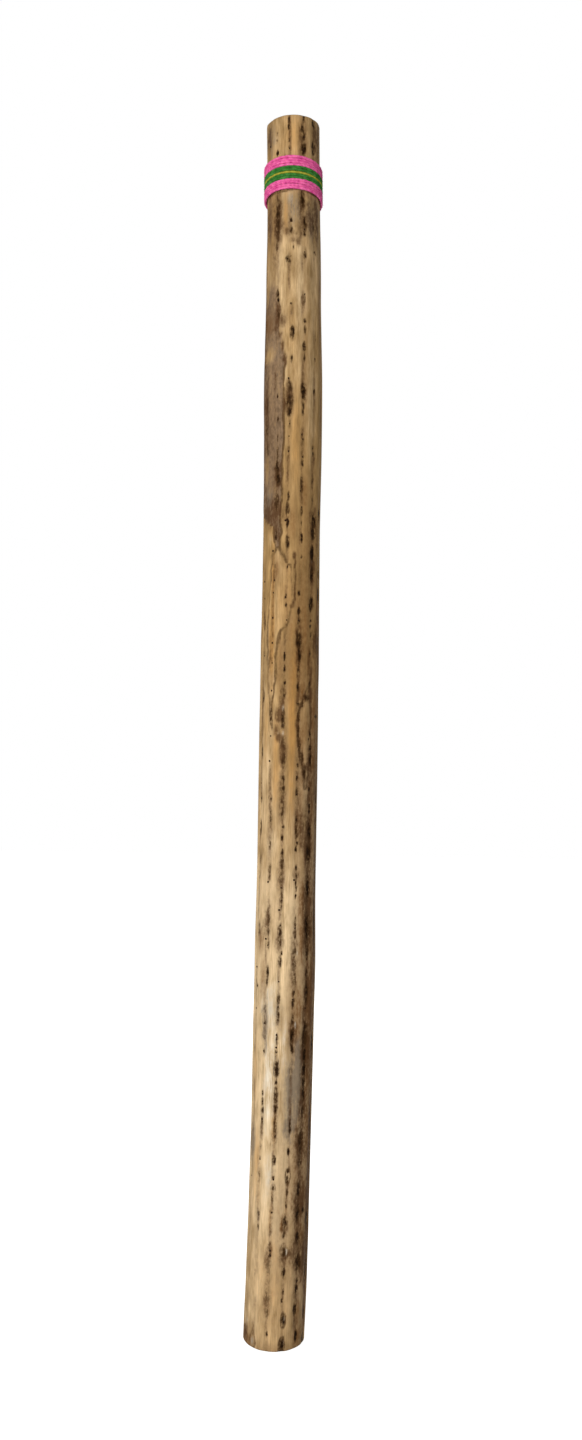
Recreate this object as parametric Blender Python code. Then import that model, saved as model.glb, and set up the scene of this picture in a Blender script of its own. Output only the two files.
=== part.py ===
"""A rain stick: a hollow, dried cactus stem with its own thorns driven back in on a spiral.

Pebbles run down the bore past the thorns, a wooden plug closes each end, and coloured yarn is wound
round the stem near the top. Metres, +Z up along the stick, origin at the middle of the lower end.
Angles run from the front (-Y) towards +X, about the stem's own bowed middle or about the straight bore.
"""

import math

import bmesh
import bpy
from mathutils import Euler, Matrix, Vector, noise

MM = 0.001
TURN = 2 * math.pi

# Cactus stem: height up the stick and outer diameter there, with a bow of constant direction (+X)
LENGTH = 1000 * MM
DIAMETERS = (
    (0 * MM, 50.7 * MM),
    (150 * MM, 49.8 * MM),
    (300 * MM, 50.4 * MM),
    (390 * MM, 48.8 * MM),
    (560 * MM, 48.6 * MM),
    (660 * MM, 47.2 * MM),
    (780 * MM, 48.4 * MM),
    (860 * MM, 45.8 * MM),
    (930 * MM, 44.0 * MM),
    (1000 * MM, 43.8 * MM),
)
BOW = 4.3 * MM
BOW_POWER = 3
RIM_RADIUS = 1.6 * MM
ROWS = 13
ROW_STEP = TURN / ROWS
FIRST_ROW = math.radians(-9)
FLUTE_DEPTH = 0.5 * MM
COLUMNS_PER_ROW = 4
OUTER_STATIONS = 26
RIM_STATIONS = 3
BORE_STATIONS = 12

# Bore: straight from end to end, between the two sides of the bow
BORE_RADIUS = 17.5 * MM
BORE_X = 1.5 * MM
SEAT_GAP = 0.3 * MM

# End plugs
PLUG_THICKNESS = 12 * MM
PLUG_CHAMFER = 1.2 * MM
PLUG_SIDES = 48

# Thorns, on a spiral that moves on by one row for each thorn. Their rows run straight along the bore, and lie
# deepest in the stem's flutes at ROW_HEIGHT, where the bow has its mean size
THORNS = 3 * ROWS
ROW_HEIGHT = 150 * MM
FIRST_THORN = 40 * MM
LAST_THORN = 960 * MM
THORN_LENGTH = 14.5 * MM
THORN_HEAD_RADIUS = 0.8 * MM
THORN_NECK = 6 * MM
THORN_NECK_RADIUS = 0.68 * MM
THORN_TIP_RADIUS = 0.12 * MM
THORN_SUNK = 0.2 * MM
THORN_SIDES = 6
THORN_HOLE_RADIUS = THORN_HEAD_RADIUS + 0.35 * MM

# Pebbles, one in each channel between two rows of thorns
PEBBLES = ROWS
PEBBLE_RADIUS = 2.2 * MM
PEBBLE_WALL_GAP = 0.4 * MM
PEBBLE_FLATNESS = 0.8
PEBBLE_ROUGHNESS = 0.16
PEBBLE_SHAPES = 3

# Yarn band: one helix wound downwards and cut into five colours, its joins at the back of the stick
YARN_RADIUS = 0.8 * MM
YARN_PITCH = 2.08 * MM
YARN_LIFT = 0.5 * MM
YARN_JOIN_GAP = 0.5 * MM
BAND_MIDDLE = 949 * MM
BAND_TILT = 3.2 * MM
POINTS_PER_LOOP = 24
YARN_LENGTHS = (
    ("pink_yarn_upper", "yarn_pink", 4),
    ("green_yarn_upper", "yarn_green", 2),
    ("yellow_yarn", "yarn_yellow", 1),
    ("green_yarn_lower", "yarn_green", 2),
    ("pink_yarn_lower", "yarn_pink", 4),
)

# Finishes: sRGB colour and roughness
FINISHES = {
    "cactus_wood": ("BE9A68", 0.55),
    "plug_wood": ("C9A878", 0.7),
    "thorn": ("2A1C12", 0.5),
    "pebble_stone": ("8A8178", 0.6),
    "yarn_pink": ("E8559B", 0.95),
    "yarn_green": ("2F7A35", 0.95),
    "yarn_yellow": ("B9A93A", 0.95),
}


def clear_scene():
    for old in list(bpy.data.objects):
        bpy.data.objects.remove(old)


def linear(channel):
    """One sRGB channel, from 0 to 1, as linear light."""
    return channel / 12.92 if channel <= 0.04045 else ((channel + 0.055) / 1.055) ** 2.4


def finish(name):
    """A Principled material for one of the FINISHES."""
    found = bpy.data.materials.get(name)
    if found:
        return found
    hex_colour, roughness = FINISHES[name]
    rgb = [linear(int(hex_colour[i : i + 2], 16) / 255) for i in (0, 2, 4)]
    material = bpy.data.materials.new(name)
    material.use_nodes = True
    shader = material.node_tree.nodes["Principled BSDF"]
    shader.inputs["Base Color"].default_value = (*rgb, 1)
    shader.inputs["Roughness"].default_value = roughness
    shader.inputs["Metallic"].default_value = 0
    return material


def new_object(name, data, material, parent, matrix=None):
    """Links data into the scene as one named piece of the stick."""
    piece = bpy.data.objects.new(name, data)
    bpy.context.scene.collection.objects.link(piece)
    if material not in data.materials[:]:
        data.materials.append(material)
    piece.parent = parent
    piece.matrix_local = matrix or Matrix.Identity(4)
    return piece


def mesh_from(name, bm):
    """A smooth-shaded mesh with its faces pointing outwards, sharp where it turns by over 40 degrees."""
    bmesh.ops.recalc_face_normals(bm, faces=bm.faces)
    mesh = bpy.data.meshes.new(name)
    bm.to_mesh(mesh)
    bm.free()
    mesh.shade_smooth()
    mesh.set_sharp_from_angle(angle=math.radians(40))
    return mesh


def turned_mesh(name, profile, sides):
    """Turns a profile of (radius, height) points about Z. It starts and ends on the axis."""
    bm = bmesh.new()
    points = [bm.verts.new((radius, 0, height)) for radius, height in profile]
    edges = [bm.edges.new(pair) for pair in zip(points, points[1:])]
    bmesh.ops.spin(bm, geom=points + edges, axis=(0, 0, 1), cent=(0, 0, 0), steps=sides, angle=TURN)
    bmesh.ops.remove_doubles(bm, verts=bm.verts, dist=0.01 * MM)
    return mesh_from(name, bm)


# Shape of the stem

def bow_at(height):
    """How far the middle of the stem stands off the line between its ends."""
    return BOW * (1 - abs(2 * height / LENGTH - 1) ** BOW_POWER)


def stem_radius(height):
    """Outer radius of the stem, eased between the measured diameters."""
    height = min(max(height, 0), LENGTH)
    for (low, low_size), (high, high_size) in zip(DIAMETERS, DIAMETERS[1:]):
        if height <= high:
            share = (height - low) / (high - low)
            ease = share * share * (3 - 2 * share)
            return (low_size + (high_size - low_size) * ease) / 2
    return DIAMETERS[-1][1] / 2


def rim_inset(height):
    """How far the sanded rim draws in at a height close to an end."""
    from_end = min(height, LENGTH - height)
    if from_end >= RIM_RADIUS:
        return 0
    rise = 1 - max(from_end, 0) / RIM_RADIUS
    return RIM_RADIUS * (1 - math.sqrt(1 - rise * rise))


def flute(angle):
    """Depth of the flutes at an angle about the stem's middle. Each row of scars lies in a valley."""
    return FLUTE_DEPTH * (1 + math.cos(ROWS * (angle - FIRST_ROW))) / 2


def round_stem(angle, radius, height):
    """The point at a radius from the stem's own bowed middle."""
    return Vector((bow_at(height) + radius * math.sin(angle), -radius * math.cos(angle), height))


def in_bore(angle, radius, height):
    """The point at a radius from the bore's straight axis."""
    return Vector((BORE_X + radius * math.sin(angle), -radius * math.cos(angle), height))


def surface_from_bore(angle, height):
    """Distance from the bore's axis to the stem's fluted surface, along an angle about the bore."""
    radius = stem_radius(height)
    offset = bow_at(height) - BORE_X
    across = offset * math.sin(angle) + math.sqrt(radius**2 - (offset * math.cos(angle)) ** 2)
    stem_angle = math.atan2(across * math.sin(angle) - offset, across * math.cos(angle))
    return across - flute(stem_angle)


def thorn_row(row):
    """Angle of a row of thorns about the bore."""
    stem_angle = FIRST_ROW + row * ROW_STEP
    valley = round_stem(stem_angle, stem_radius(ROW_HEIGHT), ROW_HEIGHT)
    shift = math.atan2(valley.x - BORE_X, -valley.y) - stem_angle
    return stem_angle + math.remainder(shift, TURN)


# Pieces

def outer_heights():
    """Heights of the rings on the outside: close together round the rims, even between them."""
    rim = [RIM_RADIUS * (1 - math.cos(i / RIM_STATIONS * TURN / 4)) for i in range(RIM_STATIONS)]
    span = LENGTH - 2 * RIM_RADIUS
    middle = [RIM_RADIUS + span * i / OUTER_STATIONS for i in range(OUTER_STATIONS + 1)]
    return rim + middle + [LENGTH - height for height in reversed(rim)]


def thorn_places():
    """(angle, height) of each thorn's head, up the spiral."""
    rise = (LAST_THORN - FIRST_THORN) / (THORNS - 1)
    return [(thorn_row(i % ROWS), FIRST_THORN + i * rise) for i in range(THORNS)]


def thorn_holes():
    """One drill through the wall for each thorn, joined into a single hidden cutter."""
    bm = bmesh.new()
    for angle, height in thorn_places():
        outside = in_bore(angle, surface_from_bore(angle, height) + 3 * MM, height)
        inside = in_bore(angle, BORE_RADIUS - 3 * MM, height)
        drill = outside - inside
        turned = drill.to_track_quat("Z", "Y").to_matrix().to_4x4()
        bmesh.ops.create_cone(
            bm,
            cap_ends=True,
            segments=THORN_SIDES,
            radius1=THORN_HOLE_RADIUS,
            radius2=THORN_HOLE_RADIUS,
            depth=drill.length,
            matrix=Matrix.Translation((outside + inside) / 2) @ turned,
        )
    cutter = bpy.data.objects.new("thorn_drill", mesh_from("thorn_drill", bm))
    bpy.context.scene.collection.objects.link(cutter)
    cutter.hide_render = True
    cutter.display_type = "WIRE"
    return cutter


def cactus_tube(parent):
    """The stem's wall: fluted outside, plain bore inside, drilled for every thorn."""
    bm = bmesh.new()
    columns = ROWS * COLUMNS_PER_ROW
    angles = [FIRST_ROW + i * TURN / columns for i in range(columns)]
    rings = []
    for height in outer_heights():
        radius = stem_radius(height) - rim_inset(height)
        rings.append([bm.verts.new(round_stem(angle, radius - flute(angle), height)) for angle in angles])
    for i in range(BORE_STATIONS + 1):
        height = LENGTH * (1 - i / BORE_STATIONS)
        rings.append([bm.verts.new(in_bore(angle, BORE_RADIUS, height)) for angle in angles])
    for ring, following in zip(rings, rings[1:] + rings[:1]):
        for i in range(columns):
            beside = (i + 1) % columns
            bm.faces.new((ring[i], ring[beside], following[beside], following[i]))
    tube = new_object("cactus_tube", mesh_from("cactus_tube", bm), finish("cactus_wood"), parent)
    drilled = tube.modifiers.new("thorn holes", "BOOLEAN")
    drilled.operation = "DIFFERENCE"
    drilled.solver = "EXACT"
    drilled.object = thorn_holes()


def end_plugs(parent):
    """Two like discs, flush with the stem's ends, each with its chamfered edge inwards."""
    radius = BORE_RADIUS - SEAT_GAP
    profile = (
        (0, PLUG_THICKNESS),
        (radius - PLUG_CHAMFER, PLUG_THICKNESS),
        (radius, PLUG_THICKNESS - PLUG_CHAMFER),
        (radius, 0),
        (0, 0),
    )
    mesh = turned_mesh("end_plug", profile, PLUG_SIDES)
    lower = Matrix.Translation((BORE_X, 0, 0))
    upper = Matrix.Translation((BORE_X, 0, LENGTH)) @ Matrix.Rotation(math.pi, 4, "X")
    new_object("lower_plug", mesh, finish("plug_wood"), parent, lower)
    new_object("upper_plug", mesh, finish("plug_wood"), parent, upper)


def thorns(parent):
    """Tapered spines, their heads just under the stem's surface and their points short of the bore's axis."""
    profile = (
        (0, THORN_LENGTH),
        (THORN_TIP_RADIUS, THORN_LENGTH - THORN_TIP_RADIUS),
        (THORN_NECK_RADIUS, THORN_NECK),
        (THORN_HEAD_RADIUS, 0),
        (0, 0),
    )
    mesh = turned_mesh("thorn", profile, THORN_SIDES)
    for number, (angle, height) in enumerate(thorn_places(), start=1):
        head = in_bore(angle, surface_from_bore(angle, height) - THORN_SUNK, height)
        inwards = in_bore(angle, 0, height) - head
        place = Matrix.Translation(head) @ inwards.to_track_quat("Z", "Y").to_matrix().to_4x4()
        new_object(f"thorn_{number:02d}", mesh, finish("thorn"), parent, place)


def pebble_mesh(shape):
    """A rounded, slightly flattened stone that stays inside PEBBLE_RADIUS."""
    bm = bmesh.new()
    bmesh.ops.create_icosphere(bm, subdivisions=2, radius=1)
    for vertex in bm.verts:
        dent = PEBBLE_ROUGHNESS * (1 + noise.noise(vertex.co + Vector((7 * shape, 0, 0)))) / 2
        vertex.co *= PEBBLE_RADIUS * (1 - dent)
        vertex.co.z *= PEBBLE_FLATNESS
    return mesh_from(f"pebble_shape_{shape}", bm)


def pebbles(parent):
    """One stone in each channel between the rows of thorns, lying on the lower plug."""
    meshes = [pebble_mesh(shape) for shape in range(PEBBLE_SHAPES)]
    ring = BORE_RADIUS - PEBBLE_RADIUS - PEBBLE_WALL_GAP
    for number in range(1, PEBBLES + 1):
        channel = (thorn_row(number - 1) + thorn_row(number)) / 2
        centre = in_bore(channel, ring, PLUG_THICKNESS + SEAT_GAP + PEBBLE_RADIUS)
        tumbled = Euler((number * 0.7, number * 1.1, number * 1.9)).to_matrix().to_4x4()
        place = Matrix.Translation(centre) @ tumbled
        new_object(f"pebble_{number:02d}", meshes[number % PEBBLE_SHAPES], finish("pebble_stone"), parent, place)


def yarn_point(loops):
    """A point on the middle of the yarn, a number of loops down from the start at the back of the stick."""
    angle = math.pi + loops * TURN
    total = sum(count for _, _, count in YARN_LENGTHS)
    height = BAND_MIDDLE + (total / 2 - loops) * YARN_PITCH + BAND_TILT * math.cos(angle)
    return round_stem(angle, stem_radius(height) + YARN_LIFT + YARN_RADIUS, height)


def least_gap(points):
    """The narrowest clear space between one loop of yarn and any other, measured on its points."""
    gaps = [
        (points[i] - points[j]).length - 2 * YARN_RADIUS
        for i in range(len(points))
        for j in range(i + POINTS_PER_LOOP // 2, len(points))
    ]
    return min(gaps)


def yarn_band(parent):
    """Five lengths of yarn that follow one helix, each end facing the next across a small gap."""
    join = YARN_JOIN_GAP / (TURN * stem_radius(BAND_MIDDLE))
    done = 0
    for name, colour, loops in YARN_LENGTHS:
        steps = loops * POINTS_PER_LOOP
        first = done + join / 2
        points = [yarn_point(first + (loops - join) * i / steps) for i in range(steps + 1)]
        done += loops
        print(f"{name}: least gap to itself {least_gap(points) / MM:.2f} mm")
        curve = bpy.data.curves.new(name, "CURVE")
        curve.dimensions = "3D"
        curve.bevel_depth = YARN_RADIUS
        curve.bevel_resolution = 1
        curve.use_fill_caps = True
        spline = curve.splines.new("POLY")
        spline.points.add(len(points) - 1)
        for knot, point in zip(spline.points, points):
            knot.co = (*point, 1)
        new_object(name, curve, finish(colour), parent)


clear_scene()
stick = bpy.data.objects.new("rain_stick", None)
bpy.context.scene.collection.objects.link(stick)
cactus_tube(stick)
end_plugs(stick)
thorns(stick)
pebbles(stick)
yarn_band(stick)
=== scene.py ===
"""A cactus rain stick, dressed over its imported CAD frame.

The scene is in metres. Sizes of the stick are in millimetres, and MM turns them into metres. +Z runs up the
stick, which stands on its thicker end. The photographed side faces -Y, and angles round the stick are
degrees from there towards +X.
"""

import math
from functools import partial

import bmesh
import bpy
import numpy as np
from mathutils import Euler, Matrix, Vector, noise


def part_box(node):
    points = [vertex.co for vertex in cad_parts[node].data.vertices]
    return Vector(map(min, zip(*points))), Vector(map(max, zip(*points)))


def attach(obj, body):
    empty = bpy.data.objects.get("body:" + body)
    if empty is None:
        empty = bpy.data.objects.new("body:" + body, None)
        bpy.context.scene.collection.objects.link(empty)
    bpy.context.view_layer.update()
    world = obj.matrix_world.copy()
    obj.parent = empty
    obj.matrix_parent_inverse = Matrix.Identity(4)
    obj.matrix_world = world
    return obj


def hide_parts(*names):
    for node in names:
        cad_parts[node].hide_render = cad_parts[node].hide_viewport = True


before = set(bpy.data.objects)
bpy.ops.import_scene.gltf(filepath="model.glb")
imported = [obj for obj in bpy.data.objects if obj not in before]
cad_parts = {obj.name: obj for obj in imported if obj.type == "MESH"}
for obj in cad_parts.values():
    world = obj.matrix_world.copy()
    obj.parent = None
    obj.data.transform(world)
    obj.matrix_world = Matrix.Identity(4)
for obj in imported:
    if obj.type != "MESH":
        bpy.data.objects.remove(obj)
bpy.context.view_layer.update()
scene = bpy.context.scene
scene.view_settings.view_transform = "Standard"


# Camera
# The photograph looks level at the middle of the stick from about a metre, so the rims of both ends curve
# away from the middle. It is held a little askew: the stick leans to the right in it.
MM = 0.001
PHOTO_HEIGHT_PX = 1440
FOCAL_LENGTH_PX = 1262.7
SENSOR_HEIGHT = 36
EYE = Vector((6.3, -1043, 500)) * MM
LOOK_UP = math.radians(0.45)
ASKEW = math.radians(-0.91)


def put_in_scene(name, data):
    """A new object in the scene, made of some data."""
    thing = bpy.data.objects.new(name, data)
    scene.collection.objects.link(thing)
    return thing


camera_data = bpy.data.cameras.new("camera")
camera_data.sensor_fit = "VERTICAL"
camera_data.sensor_height = SENSOR_HEIGHT
camera_data.lens = SENSOR_HEIGHT * FOCAL_LENGTH_PX / PHOTO_HEIGHT_PX
camera = put_in_scene("camera", camera_data)
camera.location = EYE
camera.rotation_euler = (math.pi / 2 + LOOK_UP, ASKEW, 0)
scene.camera = camera


# Floor and light
# A white studio floor under a white surround. Both show as plain white, and the floor keeps the stick's faint
# shadow. One large soft lamp stands at the left front, a weaker one at the right, and one lights the back.
FLOOR_SIZE = 8
FLOOR_GAP = 0.3 * MM
FLOOR_GLOW = 0.85
FLOOR_COLOUR = "D2D2D2"
WHITE = "FFFFFF"
SURROUND_LIGHT = 0.26
STICK_MIDDLE = Vector((0, 0, 0.5))
# Lamps: name, place, width in metres, watts
LAMPS = (
    ("key lamp", (-0.75, -1.5, 0.75), 0.9, 25),
    ("fill lamp", (1.3, -1.0, 0.6), 1.0, 2.5),
    ("back lamp", (0, 1.5, 0.8), 0.4, 12),
)


def add_node(tree, kind, inputs=None, **settings):
    """Adds a node, sets it up and fills its inputs. A node among them stands for its first output."""
    node = tree.nodes.new(kind)
    for name, value in settings.items():
        setattr(node, name, value)
    for key, value in (inputs or {}).items():
        if isinstance(value, bpy.types.Node):
            value = next(socket for socket in value.outputs if socket.enabled)
        if isinstance(value, bpy.types.NodeSocket):
            tree.links.new(value, node.inputs[key])
        else:
            node.inputs[key].default_value = value
    return node


def linear(hex_colour):
    """An sRGB hex colour as linear RGBA."""
    channels = [int(hex_colour[i : i + 2], 16) / 255 for i in (0, 2, 4)]
    return [c / 12.92 if c <= 0.04045 else ((c + 0.055) / 1.055) ** 2.4 for c in channels] + [1]


def new_material(name):
    """A material without nodes, and a function that adds a node to it."""
    material = bpy.data.materials.new(name)
    material.use_nodes = True
    material.node_tree.nodes.clear()
    return material, partial(add_node, material.node_tree)


def seen_directly(add):
    """1 where the eye looks straight, in a mirror or through glass, and 0 for other light."""
    ray = add("ShaderNodeLightPath").outputs
    mirrored = add(
        "ShaderNodeMath", {0: ray["Is Glossy Ray"], 1: ray["Is Transmission Ray"]}, operation="ADD"
    )
    return add("ShaderNodeMath", {0: ray["Is Camera Ray"], 1: mirrored}, operation="ADD", use_clamp=True)


floor_paint, add = new_material("white studio floor")
glow = add("ShaderNodeMath", {0: seen_directly(add), 1: FLOOR_GLOW}, operation="MULTIPLY")
white = add("ShaderNodeEmission", {"Color": linear(WHITE), "Strength": glow})
matt = add("ShaderNodeBsdfDiffuse", {"Color": linear(FLOOR_COLOUR)})
mixed = add("ShaderNodeAddShader", {0: matt, 1: white})
add("ShaderNodeOutputMaterial", {"Surface": mixed})

bm = bmesh.new()
bmesh.ops.create_grid(bm, x_segments=1, y_segments=1, size=FLOOR_SIZE / 2)
bmesh.ops.translate(bm, verts=bm.verts, vec=(0, 0, -FLOOR_GAP))
floor_mesh = bpy.data.meshes.new("floor")
bm.to_mesh(floor_mesh)
bm.free()
floor_mesh.materials.append(floor_paint)
floor = put_in_scene("floor", floor_mesh)

world = bpy.data.worlds.new("white surround")
world.use_nodes = True
scene.world = world
world.node_tree.nodes.clear()
add = partial(add_node, world.node_tree)
plain = add("ShaderNodeBackground", {"Color": linear(WHITE), "Strength": SURROUND_LIGHT})
white = add("ShaderNodeBackground", {"Color": linear(WHITE), "Strength": 1})
mixed = add("ShaderNodeMixShader", {0: seen_directly(add), 1: plain, 2: white})
add("ShaderNodeOutputWorld", {"Surface": mixed})

for name, place, width, watts in LAMPS:
    lamp_data = bpy.data.lights.new(name, "AREA")
    lamp_data.size = width
    lamp_data.energy = watts
    lamp = put_in_scene(name, lamp_data)
    lamp.location = place
    lamp.rotation_euler = (STICK_MIDDLE - lamp.location).to_track_quat("-Z", "Y").to_euler()


# Cactus stem
# The dried wood of a column cactus, cleaned and sanded smooth, in one hollow piece. A row of dark spine scars
# follows each former rib, and shreds of grey-brown skin that the sanding missed lie between them.
LENGTH = 1000
# How thick the stem is on its way up: height, diameter
DIAMETERS = (
    (0, 50.7), (150, 49.8), (300, 50.4), (390, 48.8), (560, 48.6), (660, 47.2), (780, 48.4), (860, 45.8),
    (930, 44.0), (1000, 43.8),
)
BOW = 4.3
RIM_RADIUS = 1.3
RIM_RINGS = (0, 0.12, 0.45)
# The upper rim is worn down on one side: depth, angle, spread
WORN_RIM, WORN_ANGLE, WORN_SPREAD = 2.2, -58, 32
BORE_RADIUS = 17.5
BORE_X = 1.5
BORE_RINGS = 5
ROWS = 13
FIRST_ROW = -9
ROW_STEP = 360 / ROWS
FLUTE_DEPTH = 0.5
# The flutes are shallower near the ends: how far from the end, share of their depth
FLUTE_FADE = ((0, 0.3), (25, 1))
BROAD_LUMP, SMALL_LUMP = 0.25, 0.1
SCAR_DEPTH, SKIN_RISE, EDGE_DEPTH = 0.5, 0.15, 0.2
# How far the rows turn round the stem on their way up: height, degrees
TWIST = ((0, -5.5), (100, -4), (200, -2), (400, 0), (900, 0.5), (1000, 2.5))
COLUMNS = 15 * ROWS
RINGS = 490
SHARP_EDGE = math.radians(50)

heights = np.linspace(RIM_RADIUS, LENGTH - RIM_RADIUS, RINGS)
rounding = RIM_RADIUS * np.array(RIM_RINGS)
heights = np.concatenate((rounding, heights, LENGTH - rounding[::-1]))[:, None]
angles = (FIRST_ROW + 180 + 360 * np.arange(COLUMNS) / COLUMNS)[None, :] % 360 - 180


def eased(points, at):
    """Values at some heights, eased between (height, value) points."""
    places, values = np.array(points).T
    i = np.clip(np.searchsorted(places, at, side="right") - 1, 0, len(places) - 2)
    share = np.clip((at - places[i]) / (places[i + 1] - places[i]), 0, 1)
    return values[i] + (values[i + 1] - values[i]) * share**2 * (3 - 2 * share)


def between(points, at):
    """Values at some heights, on straight lines between (height, value) points."""
    return np.interp(at, *np.array(points).T)


def bow_at(height):
    """How far the stem's middle stands off the line between its ends."""
    return BOW * (1 - np.abs(2 * height / LENGTH - 1) ** 3)


def patchwork(seed, cells_round, cell_height):
    """Soft random values from -1 to 1 over the stem, closed round it."""
    cells_up = int(LENGTH / cell_height) + 3
    lattice = np.random.default_rng(seed).uniform(-1, 1, (cells_up, cells_round))
    up = heights / cell_height
    across = (angles + 180) / 360 * cells_round
    row, column = up.astype(int), across.astype(int) % cells_round
    beside = (column + 1) % cells_round
    rise, turn = up - row, across - np.floor(across)
    rise, turn = rise**2 * (3 - 2 * rise), turn**2 * (3 - 2 * turn)
    low = lattice[row, column] * (1 - turn) + lattice[row, beside] * turn
    high = lattice[row + 1, column] * (1 - turn) + lattice[row + 1, beside] * turn
    return low * (1 - rise) + high * rise


# Marks have uneven outlines: how far these sway along the stem and wobble across it, for each millimetre of
# the mark, and how ragged torn skin is
SWAY_SHARE, WOBBLE_SHARE, LEAST_WOBBLE, RAGGEDNESS = 0.08, 0.06, 0.05, 0.9
FAR_OUTSIDE = -9
radii = eased(DIAMETERS, heights) / 2
wobble = patchwork(1, 60, 5) + 0.6 * patchwork(4, 30, 14)
sway = patchwork(7, 80, 4) + 0.6 * patchwork(8, 34, 11)


def across_from(angle):
    """Millimetres round the stem from an angle to every point."""
    return np.radians((angles - angle + 180) % 360 - 180) * radii


def oval(angle, height, length, width):
    """How far every point lies from the middle of a mark, where 1 is its outline."""
    along = (heights - height + SWAY_SHARE * length * sway) / (length / 2)
    across = (across_from(angle) + (LEAST_WOBBLE + WOBBLE_SHARE * width) * wobble) / (width / 2)
    return np.hypot(along, across)


def torn_patch(left, right):
    """How deep every point lies inside a patch between two torn edges of (height, angle) points."""
    from_left = across_from(0) - np.radians(between(left, heights)) * radii
    from_right = np.radians(between(right, heights)) * radii - across_from(0)
    inside = np.minimum(from_left, from_right) + RAGGEDNESS * wobble
    return np.where((heights >= left[0][0]) & (heights <= left[-1][0]), inside, FAR_OUTSIDE)


def fading(distance, crispness=2):
    """1 at no distance, fading away to 0."""
    return np.exp(-(np.abs(distance) ** crispness))


def lay(layer, amount):
    """Lays marks on a layer, which keeps the stronger of two marks."""
    np.maximum(layer, amount, out=layer)


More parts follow.
